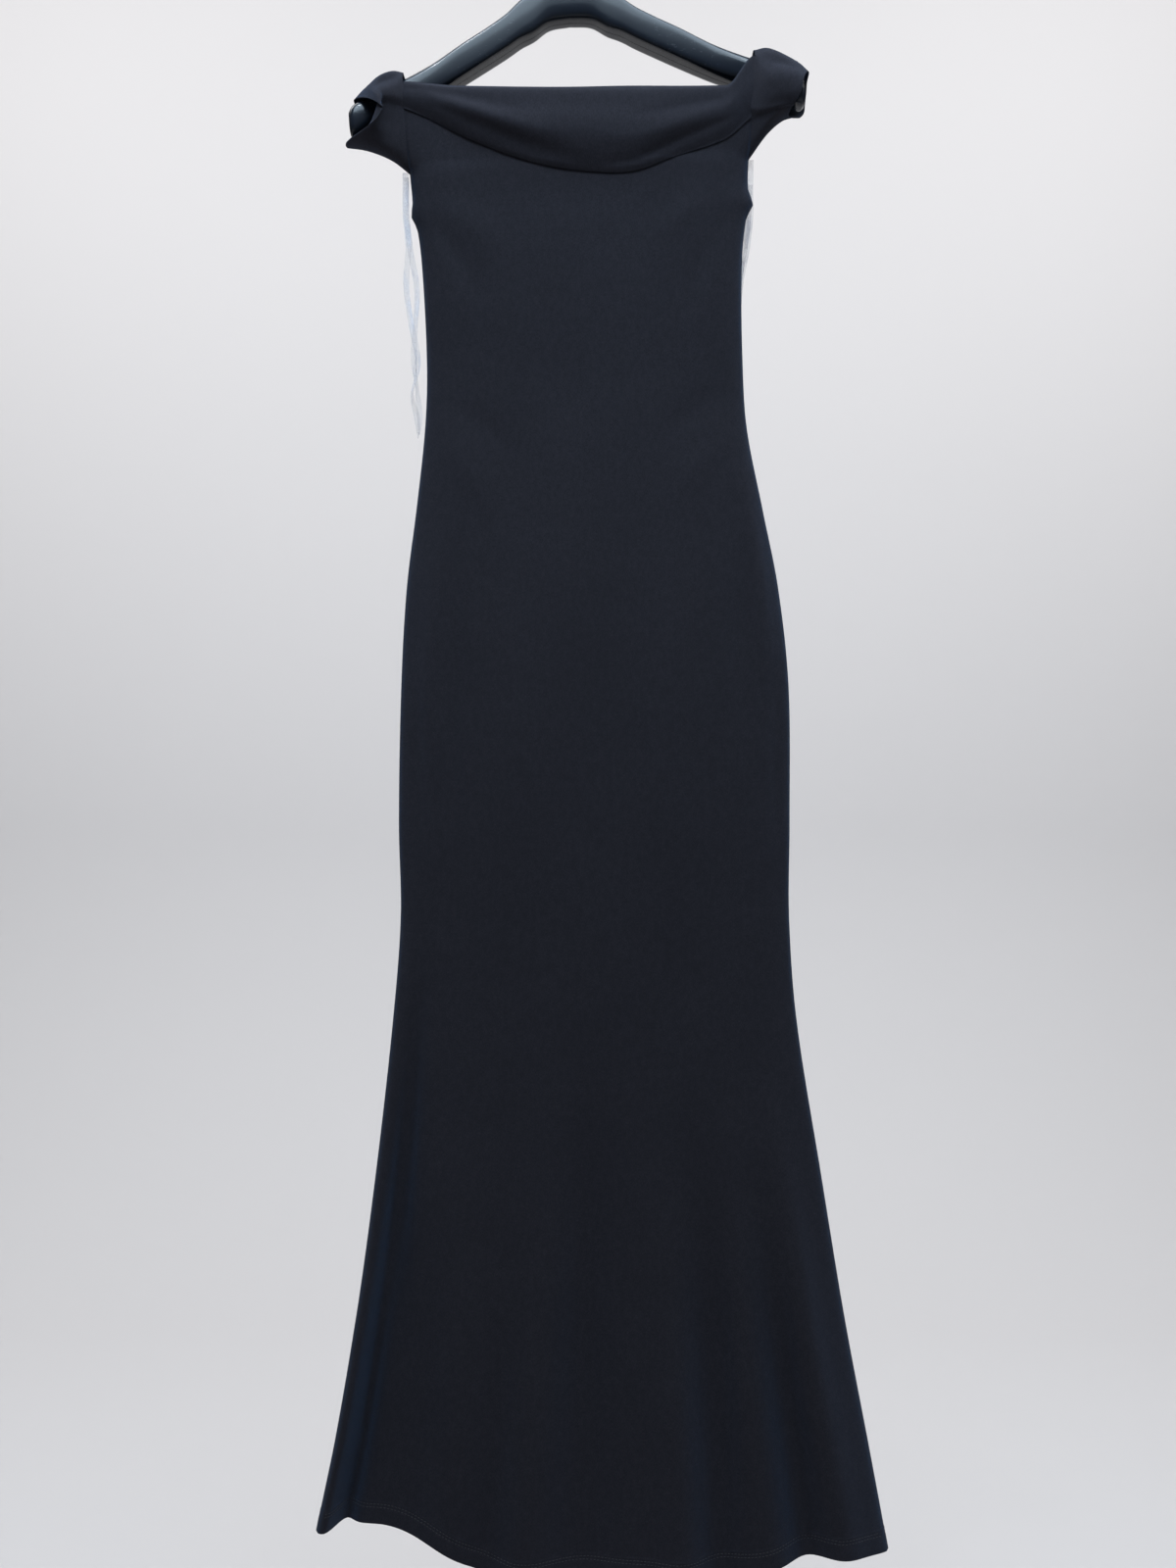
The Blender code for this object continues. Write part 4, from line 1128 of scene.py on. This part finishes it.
def build_hanger(settings):
    """Both moulded arms of the hanger and the neck between them."""
    material = shared_material(plastic_material, settings)
    piece = cloth_grid("hanger_arms", hanger_surface(), wrap=True, material=material)
    bpy.ops.object.mode_set(mode="EDIT")
    bpy.ops.mesh.select_all(action="DESELECT")
    bpy.ops.mesh.select_mode(type="EDGE")
    bpy.ops.mesh.select_non_manifold(extend=False)
    bpy.ops.mesh.fill_holes(sides=0)
    bpy.ops.mesh.select_mode(type="VERT")
    bpy.ops.mesh.select_all(action="SELECT")
    bpy.ops.mesh.normals_make_consistent(inside=False)
    bpy.ops.object.mode_set(mode="OBJECT")
    finish_piece(piece, "hanger_body")


def hook_route():
    """Points of the wire: up from the hanger's neck and round in a bow."""
    radius = HOOK_INNER_RADIUS + HOOK_WIRE / 2.0

    def bow(angle):
        return Vector((radius * math.cos(angle), 0.0, radius * math.sin(angle) - HOOK_INNER_RADIUS))

    foot = Vector((0.0, 0.0, -HOOK_FOOT_DROP))
    start = bow(HOOK_START)
    heading = Vector((-math.sin(HOOK_START), 0.0, math.cos(HOOK_START)))
    leave = foot + Vector((0.0, 0.0, HOOK_STEM_PULL))
    arrive = start - heading * HOOK_STEM_PULL
    points = []
    for share in np.linspace(0.0, 1.0, 20, endpoint=False):
        rest = 1.0 - share
        points.append(foot * rest ** 3 + leave * 3 * share * rest ** 2
                      + arrive * 3 * share ** 2 * rest + start * share ** 3)
    points += [bow(angle) for angle in np.linspace(HOOK_START, HOOK_END, 72)]
    return [tilt_matrix() @ point for point in points]


def build_hook(settings):
    """The wire hook, with a rounded end."""
    points = hook_route()
    curve = bpy.data.curves.new("hook", "CURVE")
    curve.dimensions = "3D"
    curve.bevel_depth = HOOK_WIRE / 2.0
    curve.bevel_resolution = 6
    curve.use_fill_caps = True
    spline = curve.splines.new("POLY")
    heading = (points[-1] - points[-2]).normalized()
    turns = [step / HOOK_TIP_STEPS * math.pi / 2 for step in range(1, HOOK_TIP_STEPS)]
    tip = [points[-1] + heading * HOOK_WIRE / 2.0 * math.sin(turn) for turn in turns]
    radii = [1.0] * len(points) + [math.cos(turn) for turn in turns]
    spline.points.add(len(points) + len(tip) - 1)
    for place, point, radius in zip(spline.points, points + tip, radii):
        place.co = (*point, 1.0)
        place.radius = radius
    piece = bpy.data.objects.new("hook", curve)
    bpy.context.scene.collection.objects.link(piece)
    deselect()
    piece.select_set(True)
    bpy.context.view_layer.objects.active = piece
    bpy.ops.object.convert(target="MESH")
    piece.data.materials.clear()
    piece.data.materials.append(shared_material(metal_material, settings))
    finish_piece(piece, "hanger_hook")


def stitch_row(side, to_edge, settings):
    """Places and directions of the stitches of one row along a hem."""
    place = crowded(np.linspace(0.01, 0.99, 900))
    line = panel_points(side, place, HEM_DROP - to_edge)
    away = grid_normals(np.stack((line, panel_points(side, place, HEM_DROP - to_edge + 0.002))))[0]
    away *= np.sign(np.sum(away[:, 1]) * side)
    length = np.concatenate(((0.0,), np.cumsum(np.linalg.norm(np.diff(line, axis=0), axis=1))))
    at = np.arange(STITCH_PITCH, length[-1] - STITCH_PITCH, STITCH_PITCH)
    centres = np.stack([np.interp(at, length, line[:, c]) for c in range(3)], axis=-1)
    normals = np.stack([np.interp(at, length, away[:, c]) for c in range(3)], axis=-1)
    along = np.gradient(centres, axis=0)
    return centres, along / np.linalg.norm(along, axis=1, keepdims=True), normals


def build_stitches(name, side, settings):
    """The rows of stitches that hold one panel's turned-up hem, as one mesh."""
    deselect()
    bpy.ops.mesh.primitive_uv_sphere_add(segments=6, ring_count=4, radius=0.5)
    seed = bpy.context.object
    shape = np.empty(len(seed.data.vertices) * 3)
    seed.data.vertices.foreach_get("co", shape)
    shape = shape.reshape(-1, 3)
    faces = [tuple(face.vertices) for face in seed.data.polygons]
    points, polygons = [], []
    for to_edge in STITCH_ROWS:
        centres, along, normals = stitch_row(side, to_edge, settings)
        for centre, run, normal in zip(centres, along, normals):
            beside = np.cross(normal, run)
            base = len(points) * len(shape)
            points.append(centre + normal * STITCH_LIFT + shape[:, :1] * run * STITCH_LENGTH
                          + shape[:, 1:2] * beside * STITCH_THICKNESS * STITCH_BREADTH
                          + shape[:, 2:3] * normal * STITCH_THICKNESS)
            polygons += [tuple(base + corner for corner in face) for face in faces]
    mesh = seed.data
    mesh.clear_geometry()
    mesh.from_pydata(np.concatenate(points).tolist(), [], polygons)
    mesh.update()
    seed.name = mesh.name = name
    mesh.materials.append(shared_material(thread_material, settings))
    finish_piece(seed, None)


class DRESS_OT_front(bpy.types.Operator):
    """Lay the front of the dress on its solid"""

    bl_idname = "dress.front"
    bl_label = "Front"

    def execute(self, context):
        settings = context.scene.dress_knit
        build_panel("front", -1, "front_panel", settings)
        build_stitches("front_hem_stitches", -1, settings)
        return {"FINISHED"}


class DRESS_OT_back(bpy.types.Operator):
    """Lay the back of the dress on its solid"""

    bl_idname = "dress.back"
    bl_label = "Back"

    def execute(self, context):
        settings = context.scene.dress_knit
        build_panel("back", 1, "back_panel", settings)
        build_stitches("back_hem_stitches", 1, settings)
        return {"FINISHED"}


class DRESS_OT_neckline(bpy.types.Operator):
    """Fold the neckline over, at the front and the back"""

    bl_idname = "dress.neckline"
    bl_label = "Neckline"

    def execute(self, context):
        settings = context.scene.dress_knit
        build_band("neckline_front", -1, "neck_band_front", FRONT_BAND, FRONT_SWAGS, settings)
        build_band("neckline_back", 1, "neck_band_back", BACK_BAND, BACK_SWAGS, settings)
        return {"FINISHED"}


class DRESS_OT_sleeves(bpy.types.Operator):
    """Hang both sleeves over the ends of the hanger"""

    bl_idname = "dress.sleeves"
    bl_label = "Sleeves"

    def execute(self, context):
        settings = context.scene.dress_knit
        build_sleeve("sleeve_left_knit", -1, "sleeve_left", SLEEVE_LEFT, ARCH_LEFT, FOLD_LEFT,
                     SLEEVE_LEFT_CREASES, settings)
        build_sleeve("sleeve_right_knit", 1, "sleeve_right", SLEEVE_RIGHT, ARCH_RIGHT, FOLD_RIGHT,
                     SLEEVE_RIGHT_CREASES, settings)
        return {"FINISHED"}


class DRESS_OT_loops(bpy.types.Operator):
    """Sew the two clear hanger loops into the armholes"""

    bl_idname = "dress.loops"
    bl_label = "Hanger loops"

    def execute(self, context):
        settings = context.scene.dress_hanger
        build_loop("clear_loop_left", "hanger_loop_left", LOOP_LEFT, 1.3, settings)
        build_loop("clear_loop_right", "hanger_loop_right", LOOP_RIGHT, 0.8, settings)
        return {"FINISHED"}


class DRESS_OT_hanger(bpy.types.Operator):
    """Mould the hanger and bend its hook"""

    bl_idname = "dress.hanger"
    bl_label = "Hanger"

    def execute(self, context):
        settings = context.scene.dress_hanger
        build_hanger(settings)
        build_parting("parting_ridge_top", 1.0, settings)
        build_parting("parting_ridge_bottom", -1.0, settings)
        build_hook(settings)
        return {"FINISHED"}


def add_light(lamp, settings):
    """A soft square light that looks at a point."""
    light = bpy.data.lights.new(lamp.name, "AREA")
    light.energy = getattr(settings, lamp.power) * lamp.share
    light.size = lamp.size
    light.color = lamp.colour
    stand = bpy.data.objects.new(lamp.name, light)
    stand.location = lamp.place
    heading = Vector(lamp.target) - Vector(lamp.place)
    stand.rotation_euler = heading.to_track_quat("-Z", "Y").to_euler()
    bpy.context.scene.collection.objects.link(stand)


def backdrop_surface(floor):
    """Points of the backdrop: along the floor, round the bend and up the wall."""
    profile = [(BACKDROP_NEAR, floor)]
    for angle in np.linspace(0.0, math.pi / 2.0, 24):
        y = BACKDROP_FAR - BACKDROP_BEND + BACKDROP_BEND * math.sin(angle)
        profile.append((y, floor + BACKDROP_BEND * (1.0 - math.cos(angle))))
    profile.append((BACKDROP_FAR, BACKDROP_TOP))
    across = np.linspace(-BACKDROP_HALF_WIDTH, BACKDROP_HALF_WIDTH, 3)
    return np.array([[(x, y, z) for x in across] for y, z in profile])


def add_camera(scene):
    """The level camera in front of the dress."""
    lens = bpy.data.cameras.new("camera")
    lens.sensor_width = CAMERA_SENSOR
    lens.lens = CAMERA_LENS
    camera = bpy.data.objects.new("camera", lens)
    camera.location = CAMERA_PLACE
    camera.rotation_euler = (math.pi / 2.0, 0.0, 0.0)
    scene.collection.objects.link(camera)
    scene.camera = camera


class DRESS_OT_stage(bpy.types.Operator):
    """Set the pale floor and backdrop, the light and the camera"""

    bl_idname = "dress.stage"
    bl_label = "Stage"

    def execute(self, context):
        settings = context.scene.dress_stage
        points = backdrop_surface(SOLIDS_LOW.z - settings.floor_gap)
        backdrop = cloth_grid("backdrop", points, material=backdrop_material(settings))
        turn_outwards(backdrop, lambda centres: np.array((0.0, -1.0, 1.0)))
        bpy.ops.object.shade_smooth()
        for lamp in LAMPS:
            add_light(lamp, settings)
        world = bpy.data.worlds.new("soft_room")
        world.use_nodes = True
        room = world.node_tree.nodes["Background"]
        room.inputs["Color"].default_value = ROOM_COLOUR
        room.inputs["Strength"].default_value = ROOM_STRENGTH
        context.scene.world = world
        context.scene.view_settings.view_transform = "Standard"
        add_camera(context.scene)
        return {"FINISHED"}


class DRESS_PT_panel(bpy.types.Panel):
    """Sidebar panel with the steps of the dress."""

    bl_label = "Maxi Dress"
    bl_idname = "DRESS_PT_panel"
    bl_space_type = "VIEW_3D"
    bl_region_type = "UI"
    bl_category = "Dress"

    def draw(self, context):
        for step in STEPS:
            self.layout.operator(step.bl_idname)
        for settings in (context.scene.dress_knit, context.scene.dress_hanger, context.scene.dress_stage):
            for name in settings.__annotations__:
                self.layout.prop(settings, name)


STEPS = (DRESS_OT_front, DRESS_OT_back, DRESS_OT_neckline, DRESS_OT_sleeves, DRESS_OT_loops,
         DRESS_OT_hanger, DRESS_OT_stage)
CLASSES = (KnitSettings, HangerSettings, StageSettings, *STEPS, DRESS_PT_panel)


def register():
    """Adds the classes and the settings to Blender."""
    for item in CLASSES:
        bpy.utils.register_class(item)
    bpy.types.Scene.dress_knit = PointerProperty(type=KnitSettings)
    bpy.types.Scene.dress_hanger = PointerProperty(type=HangerSettings)
    bpy.types.Scene.dress_stage = PointerProperty(type=StageSettings)


def unregister():
    """Takes them away again."""
    del bpy.types.Scene.dress_stage
    del bpy.types.Scene.dress_hanger
    del bpy.types.Scene.dress_knit
    for item in reversed(CLASSES):
        bpy.utils.unregister_class(item)


def main():
    """Builds every piece."""
    register()
    bpy.ops.dress.front()
    bpy.ops.dress.back()
    bpy.ops.dress.neckline()
    bpy.ops.dress.sleeves()
    bpy.ops.dress.loops()
    bpy.ops.dress.hanger()
    bpy.ops.dress.stage()


if __name__ == "__main__":
    main()
